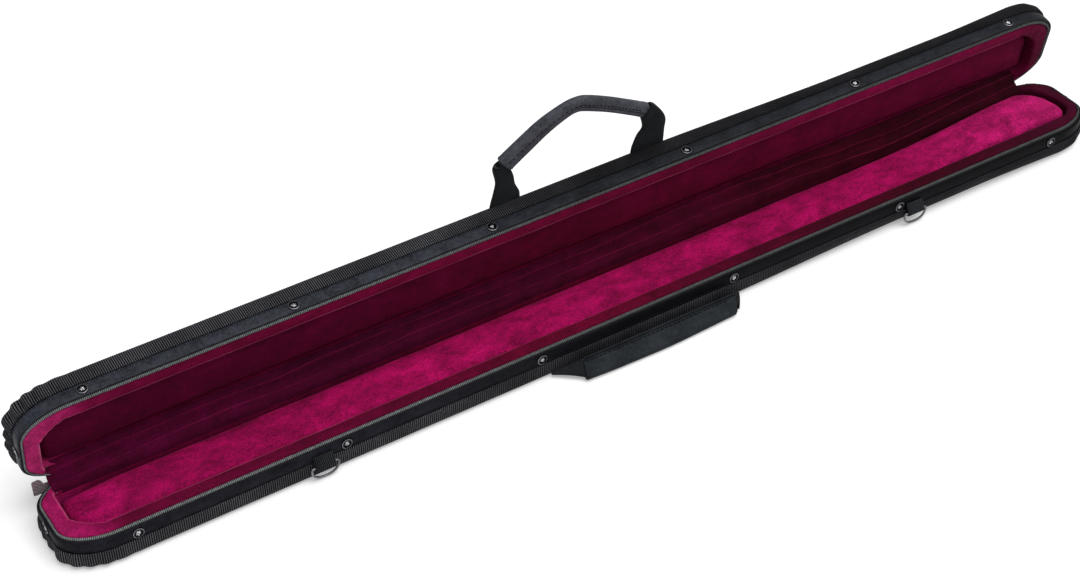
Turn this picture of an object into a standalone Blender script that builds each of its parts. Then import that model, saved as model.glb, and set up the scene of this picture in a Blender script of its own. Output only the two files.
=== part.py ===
"""A slim zip-around case for a violin bow, lying open on its base.

Metres, +Z up. X runs along the case, -Y is the front with the handles, and +Y is the hinge.
The origin is the centre of the flat underside of the base.

Both halves are made by the same functions. A piece of a half is drawn by its depth from the rim plane:
downwards in the base, upwards in the lid. The lid is made closed, and then turned open on its hinge.
"""

import math

import bmesh
import bpy
from mathutils import Matrix, Vector

MM = 0.001

# Overall sizes of the closed case, over the riveted band
case_length = 796.4 * MM
case_width = 64.2 * MM
half_height = 22.0 * MM
lid_open_angle = math.radians(79.5)
front_corner = (34.0 * MM, 22.0 * MM)
back_corner = (33.0 * MM, 20.0 * MM)

# Clearances
clearance = 0.3 * MM
rim_gap = 0.3 * MM
hinge_leaf_gap = 0.15 * MM
corner_steps = 9
band_trim = 2
zip_trim = 3

# Riveted band
band_top = 0.9 * MM
band_bottom = 9.3 * MM
band_thickness = 1.0 * MM

# Ribbed webbing, puckered at the left corners
webbing_top = 9.6 * MM
webbing_proud = 0.6 * MM
webbing_edge_radius = 4.0 * MM
webbing_turns = ((0, 1.0), (22, 0.8), (44, 0.5), (66, 0.0))
webbing_top_share = 0.3
webbing_inner_turns = (40, 20, 0)
webbing_floor_gap = 0.3 * MM
pucker_depth = 0.8 * MM
pucker_pitch = 15.0 * MM
pucker_run = 34.0 * MM
pucker_steps = 16

# Fabric cover over the board
cover_thickness = 0.6 * MM
cover_edge_radius = 3.6 * MM
wall_top = 4.5 * MM

# Board shell
board_wall = 3.2 * MM
board_floor = 2.2 * MM
board_edge_radius = 2.9 * MM

# Zip tape and coil, in the ledge between the band and the lining
tape_top = 1.5 * MM
tape_thickness = 0.7 * MM
tape_shares = (0.46, 0.93)
coil_top = 0.5 * MM
coil_height = 1.5 * MM
coil_shares = (0.06, 0.40)
coil_sides = 6

# Velvet lining: its lip at the rim, and the walls inside
lip_back_gap = 0.3 * MM
lip_corner = (31.0 * MM, 18.0 * MM)
lip_round = 1.0 * MM
ledge_width = 5.7 * MM
end_ledge_width = 3.4 * MM
inner_end_wall = 13.4 * MM
inner_front_wall = 15.0 * MM
inner_back_wall = 7.5 * MM
inner_corner = (16.0 * MM, 13.0 * MM)
inner_roundness = 0.4
lining_slope = 0.8 * MM
lining_seam_inset = 4.0 * MM

# Velvet floor pad
pad_depth = 5.6 * MM
pad_crown = 0.9 * MM
pad_gap = 0.4 * MM
pad_edge_radius = 2.4 * MM
pad_waist = 0.8 * MM
pad_crown_inset = 7.0 * MM

# Eyelet rivets
rivet_radius = 3.8 * MM
rivet_height = 0.9 * MM
rivet_cup_radius = 2.5 * MM
rivet_cup_depth = 0.6 * MM
rivet_edge = 0.25 * MM
rivet_sides = 12
rivet_place_shares = (0.206, 0.593, 0.9725)
rivet_cup_floor_share = 0.9
rivet_post_radius = 1.5 * MM
rivet_post_top_share = 0.7
rivet_post_height = 0.45 * MM
rivet_depth = 5.1 * MM

# Cloth hinge
hinge_leaf_thickness = 0.9 * MM
hinge_leaf_height = 9.0 * MM
hinge_leaf_end_inset = 22.5 * MM

# Zip end tabs
end_tab_thickness = 0.9 * MM
end_tab_inset = 4.3 * MM
end_tab_free_length = 6.0 * MM
end_tab_below = 7.5 * MM
end_tab_above = 4.2 * MM
end_tab_top_gap = 0.4 * MM
tail_width = 10.0 * MM
tail_length = 12.5 * MM
tail_slot_width = 2.6 * MM
tail_slot_length = 10.5 * MM
tail_top_gap = 0.8 * MM

# Slider and pull
slider_width = 7.6 * MM
slider_height = 7.0 * MM
slider_plate = 0.9 * MM
bridge_rise = 2.2 * MM
bridge_strip = 0.7 * MM
bridge_width = 1.8 * MM
bridge_length = 5.0 * MM
pull_length = 10.0 * MM
pull_width = 5.4 * MM
pull_thickness = 0.9 * MM
pull_eye_width = 2.6 * MM
pull_eye_height = 2.0 * MM
pull_bar = 0.8 * MM

# Handles
strap_width = 21.0 * MM
strap_thickness = 1.8 * MM
strap_folded_width = 11.0 * MM
strap_folded_thickness = 4.0 * MM
strap_centre = 55.5 * MM
grip_thickness = 4.6 * MM
grip_end_round = 1.2 * MM
section_points = 10
section_power = 0.5
lid_handle_from_face = 1.7 * MM
lid_handle_axis_gap = 1.3 * MM
lid_root_reach = 0.25 * MM
base_handle_axis_height = 7.4 * MM
base_handle_axis_gap = 1.8 * MM
base_root_reach = 0.4 * MM

# The lid handle's grip, as x and distance out from the front wall, along its bent middle line
lid_grip_line = (
    (-60.0 * MM, 35.2 * MM), (-45.5 * MM, 46.7 * MM), (-31.5 * MM, 56.7 * MM), (-18.0 * MM, 62.9 * MM),
    (-9.0 * MM, 64.3 * MM), (-1.5 * MM, 62.3 * MM), (14.6 * MM, 54.3 * MM), (31.0 * MM, 44.7 * MM),
    (48.0 * MM, 34.2 * MM),
)
lid_grip_widths = (
    16.0 * MM, 16.0 * MM, 15.6 * MM, 14.8 * MM, 14.0 * MM, 13.2 * MM, 12.6 * MM, 12.4 * MM, 12.4 * MM,
)
strap_bow = 3.6 * MM
strap_bow_shares = (0.25, 0.5, 0.75)
strap_taper_power = 1.5

# The base handle, folded on the table
base_grip_ends = (-51.5 * MM, 70.0 * MM)
base_grip_width = 14.6 * MM
base_grip_out = 10.3 * MM
base_grip_height = 4.9 * MM
base_grip_tilt = math.radians(17)
fan_reach = 15.0 * MM
under_fan_reach = 9.0 * MM
fan_inner = 1.0 * MM
fan_steps = 6
strap_root_height = 1.3 * MM
under_strap_height = 1.0 * MM
under_strap_thickness = 1.1 * MM
under_strap_turn = 65.0 * MM
under_strap_bend = 2.3 * MM

# D-rings and their tabs
ring_place_shares = (-0.5851, 0.5733)
ring_inner_width = 14.5 * MM
ring_depth = 8.6 * MM
ring_wire_radius = 1.1 * MM
ring_floor_gap = 0.5 * MM
ring_steps = 10
tab_width = 13.6 * MM
tab_cloth = 0.8 * MM
tab_height = 7.0 * MM
tab_points = 12
tab_neck_share = 0.9
tab_neck_front_share = 0.1


def material(name, colour, roughness, metallic=0.0):
    """A Principled material of one colour."""
    made = bpy.data.materials.new(name)
    made.use_nodes = True
    shader = made.node_tree.nodes["Principled BSDF"]
    shader.inputs["Base Color"].default_value = (*colour, 1.0)
    shader.inputs["Roughness"].default_value = roughness
    shader.inputs["Metallic"].default_value = metallic
    return made


class Outline:
    """A rectangle seen from above, with its own front and back. Corners are elliptical, or nearly cut off."""

    def __init__(self, half, front, back, front_radii, back_radii, roundness=1.0):
        self.half = half
        self.front = front
        self.back = back
        self.front_radii = front_radii
        self.back_radii = back_radii
        self.roundness = roundness

    def inset(self, by):
        """The outline drawn in by one distance all round."""
        front_radii = tuple(max(radius - by, clearance) for radius in self.front_radii)
        back_radii = tuple(max(radius - by, clearance) for radius in self.back_radii)
        return Outline(self.half - by, self.front + by, self.back - by, front_radii, back_radii, self.roundness)

    def points(self, steps=corner_steps):
        """Points round the corners, from the hinge's left end by the front to its right end."""
        found = []
        for side, end, radii, start in (
            (-1, self.back, self.back_radii, 90),
            (-1, self.front, self.front_radii, 180),
            (1, self.front, self.front_radii, 270),
            (1, self.back, self.back_radii, 360),
        ):
            x_centre = side * (self.half - radii[0])
            y_centre = end + radii[1] * (1 if end < 0 else -1)
            for step in range(steps + 1):
                angle = math.radians(start + 90 * step / steps)
                across, over = math.cos(angle), math.sin(angle)
                straight = 1 / (abs(across) + abs(over))
                reach = straight + (1 - straight) * self.roundness
                found.append((x_centre + radii[0] * across * reach, y_centre + radii[1] * over * reach))
        return found


def between(outer, inner, share):
    """Points a share of the way from one ring of points to another."""
    return [(a[0] + (b[0] - a[0]) * share, a[1] + (b[1] - a[1]) * share) for a, b in zip(outer, inner)]


wall = Outline(case_length / 2, -case_width / 2, case_width / 2, front_corner, back_corner)
lip_outline = Outline(
    case_length / 2 - end_ledge_width,
    -case_width / 2 + ledge_width,
    case_width / 2 - hinge_leaf_thickness - lip_back_gap,
    lip_corner,
    lip_corner,
)
inner_outline = Outline(
    case_length / 2 - inner_end_wall,
    -case_width / 2 + inner_front_wall,
    case_width / 2 - inner_back_wall,
    inner_corner,
    inner_corner,
    inner_roundness,
)
hinge_axis = Vector((0.0, case_width / 2 + hinge_leaf_gap, half_height))


class Half:
    """One half of the case: its name, and which way its depth runs from the rim."""

    def __init__(self, name, way, parent=None):
        self.name = name
        self.way = way
        self.parent = parent

    def height(self, depth):
        """World height, with the case closed, of a depth from the rim."""
        return half_height + self.way * depth

    def ring(self, points, depth):
        """A ring of points at one depth."""
        return [Vector((x, y, self.height(depth))) for x, y in points]


def link(made, look):
    """Put an object in the case's collection, with its material."""
    case_collection.objects.link(made)
    made.data.materials.append(look)


def turning_axis(name, place, parent=None):
    """An empty on a joint's axis. Its place is given with the case closed."""
    empty = bpy.data.objects.new(name, None)
    case_collection.objects.link(empty)
    empty["closed_place"] = place
    empty.location = place
    if parent:
        empty.parent = parent
        empty.location = place - Vector(parent["closed_place"])
    return empty


def solid_through(name, rings, look, parent=None, closed=False, smooth_angle=40):
    """A solid through matching rings of points. Its ends are capped unless the rings close on themselves."""
    mesh = bmesh.new()
    rows = [[mesh.verts.new(point) for point in ring] for ring in rings]
    pairs = list(zip(rows, rows[1:]))
    if closed:
        pairs.append((rows[-1], rows[0]))
    for row, following in pairs:
        count = len(row)
        for place in range(count):
            after = (place + 1) % count
            mesh.faces.new((row[place], row[after], following[after], following[place]))
    if not closed:
        mesh.faces.new(rows[0])
        mesh.faces.new(rows[-1])
    bmesh.ops.recalc_face_normals(mesh, faces=mesh.faces)
    data = bpy.data.meshes.new(name)
    mesh.to_mesh(data)
    mesh.free()
    data.shade_smooth()
    data.set_sharp_from_angle(angle=math.radians(smooth_angle))
    made = bpy.data.objects.new(name, data)
    link(made, look)
    if parent:
        made.parent = parent
        made.location = -Vector(parent["closed_place"])
    return made


def flat_section(centre, side, up, half_width, half_thickness):
    """A flat section with rounded edges, across a strap or a grip."""
    found = []
    for step in range(section_points):
        angle = 2 * math.pi * (step + 0.5) / section_points
        across = math.copysign(abs(math.cos(angle)) ** section_power, math.cos(angle))
        over = math.copysign(abs(math.sin(angle)) ** section_power, math.sin(angle))
        found.append(centre + side * (across * half_width) + up * (over * half_thickness))
    return found


def webbing_wave(x, y):
    """How far the webbing bulges at one place: only near the left end, where it is gathered."""
    from_left = x + case_length / 2
    fade = min(max(1 - from_left / pucker_run, 0), 1)
    along = from_left + (case_width / 2 - abs(y)) * 2
    return pucker_depth * fade * math.sin(2 * math.pi * along / pucker_pitch)


def puckered(points, share):
    """A ring of points pushed outwards by the webbing's pucker."""
    found = []
    for x, y in points:
        wave = max(webbing_wave(x, y), -webbing_proud) * share
        found.append((x - wave, y if y > case_width / 4 else y - wave))
    return found


def edge_turn(outline, radius, bottom, steps, inward=0.0):
    """Outlines and depths round a bottom edge, from the wall to the underside."""
    found = []
    for step in range(steps + 1):
        angle = math.radians(90 * step / steps)
        drawn = outline.inset(radius * (1 - math.cos(angle)))
        found.append((drawn, bottom - radius + radius * math.sin(angle)))
    if inward:
        found.append((outline.inset(radius + inward), bottom))
    return found


def make_cover(half, look):
    """The fabric over the underside and the walls, as one thin tray."""
    outer = wall.inset(band_thickness + clearance)
    inner = outer.inset(cover_thickness)
    floor = half_height - cover_thickness
    inner_radius = cover_edge_radius - cover_thickness
    profile = [*reversed(edge_turn(outer, cover_edge_radius, half_height, 3)), (outer, wall_top)]
    profile += [(inner, wall_top), *edge_turn(inner, inner_radius, floor, 2)]
    rings = [half.ring(outline.points(), depth) for outline, depth in profile]
    return solid_through(half.name + "_cover", rings, look, half.parent)


def make_shell(half, look):
    """The board tray that stiffens the half."""
    outer = wall.inset(band_thickness + clearance + cover_thickness + clearance)
    inner = outer.inset(board_wall)
    bottom = half_height - cover_thickness - clearance
    profile = [*reversed(edge_turn(outer, board_edge_radius, bottom, 2)), (outer, wall_top)]
    profile += [(inner, wall_top), (inner, bottom - board_floor)]
    rings = [half.ring(outline.points(), depth) for outline, depth in profile]
    return solid_through(half.name + "_shell", rings, look, half.parent)


def make_lining(half, look):
    """The velvet wall lining, with a padded lip over the board's edge: two long strips and a block round each end."""
    lining_bottom = half_height - cover_thickness - board_floor - 3 * clearance
    outer_wall = wall.inset(band_thickness + 3 * clearance + cover_thickness + board_wall)
    shelf = wall_top - clearance
    profile = [
        (outer_wall, lining_bottom),
        (outer_wall, shelf),
        (lip_outline, shelf),
        (lip_outline, rim_gap + lip_round),
        (lip_outline.inset(lip_round), rim_gap),
        (inner_outline.inset(-lip_round), rim_gap),
        (inner_outline, rim_gap + lip_round),
        (inner_outline.inset(lining_slope / 2), pad_depth),
        (inner_outline, lining_bottom),
    ]
    rings = [half.ring(outline.points(), depth) for outline, depth in profile]
    stations = [list(station) for station in zip(*rings)]
    middle = len(stations) // 2
    straight = min(lip_outline.half - lip_corner[0], wall.half - front_corner[0])
    seam = straight - lining_seam_inset
    near = seam - clearance
    front_strip = [moved_to(stations[middle - 1], -near), moved_to(stations[middle], near)]
    back_strip = [moved_to(stations[-1], near), moved_to(stations[0], -near)]
    left = [moved_to(stations[0], -seam)] + stations[:middle] + [moved_to(stations[middle - 1], -seam)]
    right = [moved_to(stations[middle], seam)] + stations[middle:] + [moved_to(stations[-1], seam)]
    for word, run in (("front", front_strip), ("back", back_strip), ("left", left), ("right", right)):
        solid_through(half.name + "_lining_" + word, run, look, half.parent)


def moved_to(station, x):
    """A cross-section slid along the case to another place."""
    return [Vector((x, point.y, point.z)) for point in station]


def make_pad(half, look):
    """The velvet floor pad: crowned, with rounded edges and sides that draw in."""
    bottom = half_height - cover_thickness - board_floor - 3 * clearance
    side = inner_outline.inset(lining_slope / 2 + pad_gap)
    top_round = side.inset(pad_edge_radius * (1 - math.sqrt(0.5)))
    profile = [
        (side.inset(pad_waist), bottom),
        (side.inset(pad_waist / 2), (bottom + pad_depth) / 2),
        (side, pad_depth + 2 * pad_edge_radius),
        (side, pad_depth + pad_edge_radius),
        (top_round, pad_depth + pad_edge_radius * (1 - math.sqrt(0.5))),
        (side.inset(pad_edge_radius), pad_depth),
        (side.inset(pad_edge_radius + pad_crown_inset), pad_depth - pad_crown),
    ]
    rings = [half.ring(outline.points(), depth) for outline, depth in profile]
    return solid_through(half.name + "_floor_pad", rings, look, half.parent, smooth_angle=70)


def make_webbing(half, look):
    """The ribbed webbing round the wall, turned in under the bottom edge and puckered at the left."""
    outer = Outline(wall.half + webbing_proud, wall.front - webbing_proud, wall.back, front_corner, back_corner)
    inner = wall.inset(band_thickness)
    lowest = half_height - webbing_floor_gap - webbing_edge_radius
    profile = [(outer, webbing_top, webbing_top_share), (outer, (webbing_top + lowest) / 2, 1.0)]
    for degrees, share in webbing_turns:
        angle = math.radians(degrees)
        drawn = outer.inset(webbing_edge_radius * (1 - math.cos(angle)))
        profile.append((drawn, lowest + webbing_edge_radius * math.sin(angle), share))
    radius = cover_edge_radius + clearance
    for degrees in webbing_inner_turns:
        angle = math.radians(degrees)
        drawn = inner.inset(radius * (1 - math.cos(angle)))
        profile.append((drawn, half_height - cover_edge_radius + radius * math.sin(angle), 0.0))
    profile.append((inner, webbing_top, 0.0))
    rings = [half.ring(puckered(outline.points(pucker_steps), share), depth) for outline, depth, share in profile]
    return solid_through(half.name + "_webbing", rings, look, half.parent, closed=True, smooth_angle=55)


def make_strip(half, name, section, look, trim):
    """A strip along the open path from one end of the hinge to the other. Its section is rings of points."""
    rings = [half.ring(points, depth) for points, depth in section]
    stations = [list(station) for station in zip(*rings)]
    kept = stations[trim:len(stations) - trim]
    return solid_through(half.name + name, kept, look, half.parent)


def make_band(half, look):
    """The smooth band that the rivets go through."""
    outer = wall.points()
    inner = wall.inset(band_thickness).points()
    chamfer = wall.inset(band_thickness / 4).points()
    section = [
        (chamfer, band_top),
        (outer, band_top + band_thickness / 2),
        (outer, band_bottom - band_thickness / 2),
        (chamfer, band_bottom),
        (inner, band_bottom),
        (inner, band_top),
    ]
    return make_strip(half, "_band", section, look, band_trim)


def make_zip(half, tape_look, coil_look):
    """Half of the zip: the tape on the ledge, and the coil along its inner edge."""
    outer = wall.inset(band_thickness).points()
    lip = lip_outline.points()
    near, far = (between(lip, outer, share) for share in tape_shares)
    section = [(near, tape_top), (far, tape_top), (far, tape_top + tape_thickness), (near, tape_top + tape_thickness)]
    make_strip(half, "_zip_tape", section, tape_look, zip_trim)
    middle = (coil_shares[0] + coil_shares[1]) / 2
    reach = (coil_shares[1] - coil_shares[0]) / 2
    section = []
    for side in range(coil_sides):
        angle = 2 * math.pi * (side + 0.5) / coil_sides
        across = between(lip, outer, middle + reach * math.cos(angle))
        section.append((across, coil_top + coil_height / 2 * (1 - math.sin(angle))))
    make_strip(half, "_zip_coil", section, coil_look, zip_trim)


def make_rivet(name, half, place, outwards, look):
    """An eyelet rivet: a domed flange round a cup with a clenched post in it, turned about its own axis."""
    floor = rivet_height - rivet_cup_depth
    profile = [
        (0.0, floor + rivet_post_height),
        (rivet_post_radius * rivet_post_top_share, floor + rivet_post_height),
        (rivet_post_radius, floor),
        (rivet_cup_radius * rivet_cup_floor_share, floor),
        (rivet_cup_radius, rivet_height),
        ((rivet_cup_radius + rivet_radius) / 2, rivet_height),
        (rivet_radius, rivet_edge),
        (rivet_radius, 0.0),
        (0.0, 0.0),
    ]
    mesh = bmesh.new()
    corners = [mesh.verts.new((radius, 0.0, height)) for radius, height in profile]
    for first, second in zip(corners, corners[1:]):
        mesh.edges.new((first, second))
    data = bpy.data.meshes.new(name)
    mesh.to_mesh(data)
    mesh.free()
    made = bpy.data.objects.new(name, data)
    link(made, look)
    turned = made.modifiers.new("turned", "SCREW")
    turned.axis = "Z"
    turned.steps = rivet_sides
    turned.render_steps = rivet_sides
    turned.use_merge_vertices = True
    turned.merge_threshold = clearance / 10
    place = place + outwards * clearance
    made.rotation_euler = outwards.to_track_quat("Z", "Y").to_euler()
    made.location = place
    if half.parent:
        made.parent = half.parent
        made.location = place - Vector(half.parent["closed_place"])
    return made


def make_rivets(half, look):
    """Six rivets on the front wall, and one in the middle of each end."""
    height = half.height(rivet_depth)
    number = 0
    straight = wall.half - front_corner[0]
    for share in sorted([-share for share in rivet_place_shares] + list(rivet_place_shares)):
        number += 1
        place = Vector((share * straight, wall.front, height))
        make_rivet(f"{half.name}_rivet_front_{number}", half, place, Vector((0, -1, 0)), look)
    for side, word in ((-1, "left"), (1, "right")):
        middle = (wall.front + front_corner[1] + wall.back - back_corner[1]) / 2
        place = Vector((side * wall.half, middle, height))
        make_rivet(f"{half.name}_rivet_{word}_end", half, place, Vector((side, 0, 0)), look)


def make_hinge_leaf(half, look):
    """One leaf of the cloth hinge, on the half's back wall."""
    back = wall.back
    front = back - hinge_leaf_thickness
    rings = []
    for side in (-1, 1):
        x = side * (wall.half - hinge_leaf_end_inset)
        corners = ((front, hinge_leaf_gap), (back, hinge_leaf_gap), (back, hinge_leaf_height), (front, hinge_leaf_height))
        rings.append([Vector((x, y, half.height(depth))) for y, depth in corners])
    return solid_through(half.name + "_hinge_leaf", rings, look, half.parent)


def make_half(half, looks):
    """Every fixed piece of one half."""
    make_cover(half, looks["nylon"])
    make_shell(half, looks["board"])
    make_lining(half, looks["velvet"])
    make_pad(half, looks["velvet"])
    make_webbing(half, looks["webbing"])
    make_band(half, looks["band"])
    make_zip(half, looks["tape"], looks["coil"])
    make_rivets(half, looks["metal"])
    make_hinge_leaf(half, looks["nylon"])


def corner_direction():
    """Along and out from the back right corner, where the zip's tail hangs."""
    along = Vector((back_corner[0], -back_corner[1], 0.0)).normalized()
    out = Vector((-along.y, along.x, 0.0))
    angle = math.atan2(out.y * back_corner[1], out.x * back_corner[0])
    touch = Vector((
        wall.half - back_corner[0] + back_corner[0] * math.cos(angle),
        wall.back - back_corner[1] + back_corner[1] * math.sin(angle),
        0.0,
    ))
    return along, out, touch


def slab(name, outline, normal, thickness, look, parent=None):
    """A flat piece: an outline of points, made thick both ways along its normal."""
    rings = [[point + normal * way * thickness / 2 for point in outline] for way in (-1, 1)]
    return solid_through(name, rings, look, parent)


def make_left_end_tab(look):
    """The sewn end of the zip tape: it comes out of the hinge's left end, and stands free past the corner."""
    near = -(wall.half - hinge_leaf_end_inset) - clearance
    end = -(wall.half - end_tab_inset)
    step = end + end_tab_free_length
    y = wall.back - end_tab_thickness / 2
    low = half_height - end_tab_below
    shoulder = half_height - end_tab_top_gap
    high = half_height + end_tab_above
    corners = (
        (near, low), (near, shoulder), (step, shoulder), (step, high), (end, high), (end, low),
    )
    outline = [Vector((x, y, z)) for x, z in corners]
    return slab("zip_end_tab_left", outline, Vector((0, 1, 0)), end_tab_thickness, look)


def make_zip_tail(looks):
    """The right end of the zip: its tail, the slider parked on it, and the pull that hangs from the slider."""
    along, out, touch = corner_direction()
    up = Vector((0, 0, 1))
    layer = touch + out * (webbing_proud + 2 * clearance + slider_plate + end_tab_thickness / 2 + clearance)
    top = half_height - tail_top_gap
    bottom = top - tail_length
    slot = tail_slot_width / 2
    half_tail = tail_width / 2
    slot_bottom = top - tail_slot_length
    corners = (
        (-half_tail, bottom), (half_tail, bottom), (half_tail, top), (slot, top), (slot, slot_bottom),
        (-slot, slot_bottom), (-slot, top), (-half_tail, top),
    )
    outline = [layer + along * across + up * height for across, height in corners]
    slab("zip_end_tab_right", outline, out, end_tab_thickness, looks["tape"])

    slider_bottom = slot_bottom + clearance
    slider_axis = turning_axis("zip_slider_path", layer + up * slider_bottom)
    inside = end_tab_thickness / 2 + clearance
    outside = inside + slider_plate
    wide = slider_width / 2
    post = slot - clearance
    across_out = (
        (-wide, -outside), (wide, -outside), (wide, -inside), (post, -inside), (post, inside), (wide, inside),
        (wide, outside), (-wide, outside), (-wide, inside), (-post, inside), (-post, -inside), (-wide, -inside),
    )
    rings = []
    for height in (slider_bottom, slider_bottom + slider_height):
        rings.append([layer + along * across + out * depth + up * height for across, depth in across_out])
    body = solid_through("zip_slider", rings, looks["metal"], slider_axis)

    bridge_base = slider_bottom + (slider_height - bridge_length) / 2
    bridge_top = bridge_base + bridge_length
    rise = outside + bridge_rise
    arch = (
        (outside - slider_plate / 2, bridge_base), (rise - bridge_strip, bridge_base), (rise, bridge_base + bridge_strip),
        (rise, bridge_top - bridge_strip), (rise - bridge_strip, bridge_top), (outside - slider_plate / 2, bridge_top),
        (outside - slider_plate / 2, bridge_top - bridge_strip), (rise - bridge_strip, bridge_top - bridge_strip),
        (rise - bridge_strip, bridge_base + bridge_strip), (outside - slider_plate / 2, bridge_base + bridge_strip),
    )
    outline = [layer + out * depth + up * height for depth, height in arch]
    bridge = slab("slider_bridge", outline, along, bridge_width, looks["metal"], slider_axis)
    join(body, bridge)

    pivot = layer + out * (outside + pull_thickness / 2 + clearance) + up * (bridge_base + bridge_strip + clearance)
    pivot = pivot + up * (pull_bar / 2)
    pull_axis = turning_axis("zip_pull_axis", pivot, slider_axis)
    wide = pull_width / 2
    eye = pull_eye_width / 2
    high = pull_bar / 2
    eye_bottom = -high - pull_eye_height
    tip = high - pull_length
    outer = [(-wide, high), (-wide, tip + wide / 2), (-wide / 2, tip), (wide / 2, tip), (wide, tip + wide / 2), (wide, high)]
    hole = [(-eye, -high), (-eye, eye_bottom), (-eye / 2, eye_bottom), (eye / 2, eye_bottom), (eye, eye_bottom), (eye, -high)]
    rings = []
    for points, way in ((outer, -1), (outer, 1), (hole, 1), (hole, -1)):
        shift = out * (way * pull_thickness / 2)
        rings.append([pivot + along * across + up * height + shift for across, height in points])
    solid_through("zip_pull", rings, looks["metal"], pull_axis, closed=True)


def join(body, addition):
    """Make one solid of two that meet."""
    union = body.modifiers.new("joined", "BOOLEAN")
    union.operation = "UNION"
    union.object = addition
    addition.hide_render = True
    addition.display_type = "WIRE"
    case_collection.objects.unlink(addition)
    cutter_collection.objects.link(addition)


def make_swept(name, stations, look, parent):
    """A strap or grip through stations: middle, direction across, direction over, half width, half thickness."""
    rings = []
    for centre, side, over, half_width, half_thickness in stations:
        rings.append(flat_section(centre, side, over, half_width, half_thickness))
    return solid_through(name, rings, look, parent, smooth_angle=60)


def grip_stations(line, over, widths):
    """Stations along a grip's middle line, drawn in a little at both ends."""
    stations = []
    count = len(line)
    for place, point in enumerate(line):
        before = line[max(place - 1, 0)]
        after = line[min(place + 1, count - 1)]
        side = over.cross(after - before).normalized()
        drawn = grip_end_round / 2 if place in (0, count - 1) else 0.0
        stations.append((point, side, over, widths[place] / 2 - drawn, grip_thickness / 2 - drawn / 2))
    return stations


def make_lid_handle(half, looks):
    """The lid's handle, standing straight out from the top edge of its front wall."""
    height = half.height(half_height - lid_handle_from_face)
    front = wall.front - webbing_proud
    axis = turning_axis("lid_handle_axis", Vector((0, front - lid_handle_axis_gap, height)), half.parent)
    over = Vector((0, 0, 1))
    line = [Vector((x, front - out, height)) for x, out in lid_grip_line]
    stations = grip_stations(line, over, lid_grip_widths)
    first, second = line[0], line[1]
    last, before_last = line[-1], line[-2]
    entry = first + (second - first).normalized() * grip_end_round
    exit_point = last + (before_last - last).normalized() * grip_end_round
    stations.insert(1, (entry, stations[0][1], over, lid_grip_widths[0] / 2, grip_thickness / 2))
    stations.insert(-1, (exit_point, stations[-1][1], over, lid_grip_widths[-1] / 2, grip_thickness / 2))
    make_swept("lid_handle_grip", stations, looks["leather"], axis)
    for word, end, inner, side in (("left", first, second, -1), ("right", last, before_last, 1)):
        outward = (end - inner).normalized()
        root = Vector((side * strap_centre, front + lid_root_reach, height))
        meet = end + outward * clearance
        turn = end + outward * strap_bow
        line = [root]
        for share in strap_bow_shares:
            straight = root.lerp(turn, share)
            bow = math.sin(math.pi * share) * strap_bow / 2
            line.append(straight + Vector((side * bow, 0, 0)))
        line += [turn, meet]
        stations = []
        for place, point in enumerate(line):
            before = line[max(place - 1, 0)]
            after = line[min(place + 1, len(line) - 1)]
            across = over.cross(after - before).normalized() if place else Vector((1, 0, 0))
            share = min(place / (len(line) - 2), 1)
            narrowed = share ** strap_taper_power
            half_width = (strap_width + (strap_folded_width - strap_width) * narrowed) / 2
            half_thickness = (strap_thickness + (strap_folded_thickness - strap_thickness) * share ** 2) / 2
            stations.append((point, across, over, half_width, half_thickness))
        make_swept(f"lid_handle_strap_{word}", stations, looks["webbing"], axis)
    return axis


def fan(pivot, start, finish, heights, reach, half_thickness, tilt=0.0):
    """Stations of a flat strap folded about its inner edge, so that its outer edge runs straight across the corner."""
    stations = []
    for step in range(fan_steps + 1):
        share = step / fan_steps
        angle = math.radians(start + (finish - start) * share)
        across, out = math.cos(angle), math.sin(angle)
        straight = 1 / (abs(across) + abs(out))
        tip = tilt * share
        spoke = Vector((across * math.cos(tip), out * math.cos(tip), -math.sin(tip)))
        up = Vector((across * math.sin(tip), out * math.sin(tip), math.cos(tip)))
        centre = pivot + Vector((across, out, 0)) * ((fan_inner + reach * straight) / 2)
        centre.z = heights[0] + (heights[1] - heights[0]) * share
        stations.append((centre, spoke, up, (reach * straight - fan_inner) / 2, half_thickness))
    return stations


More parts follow.
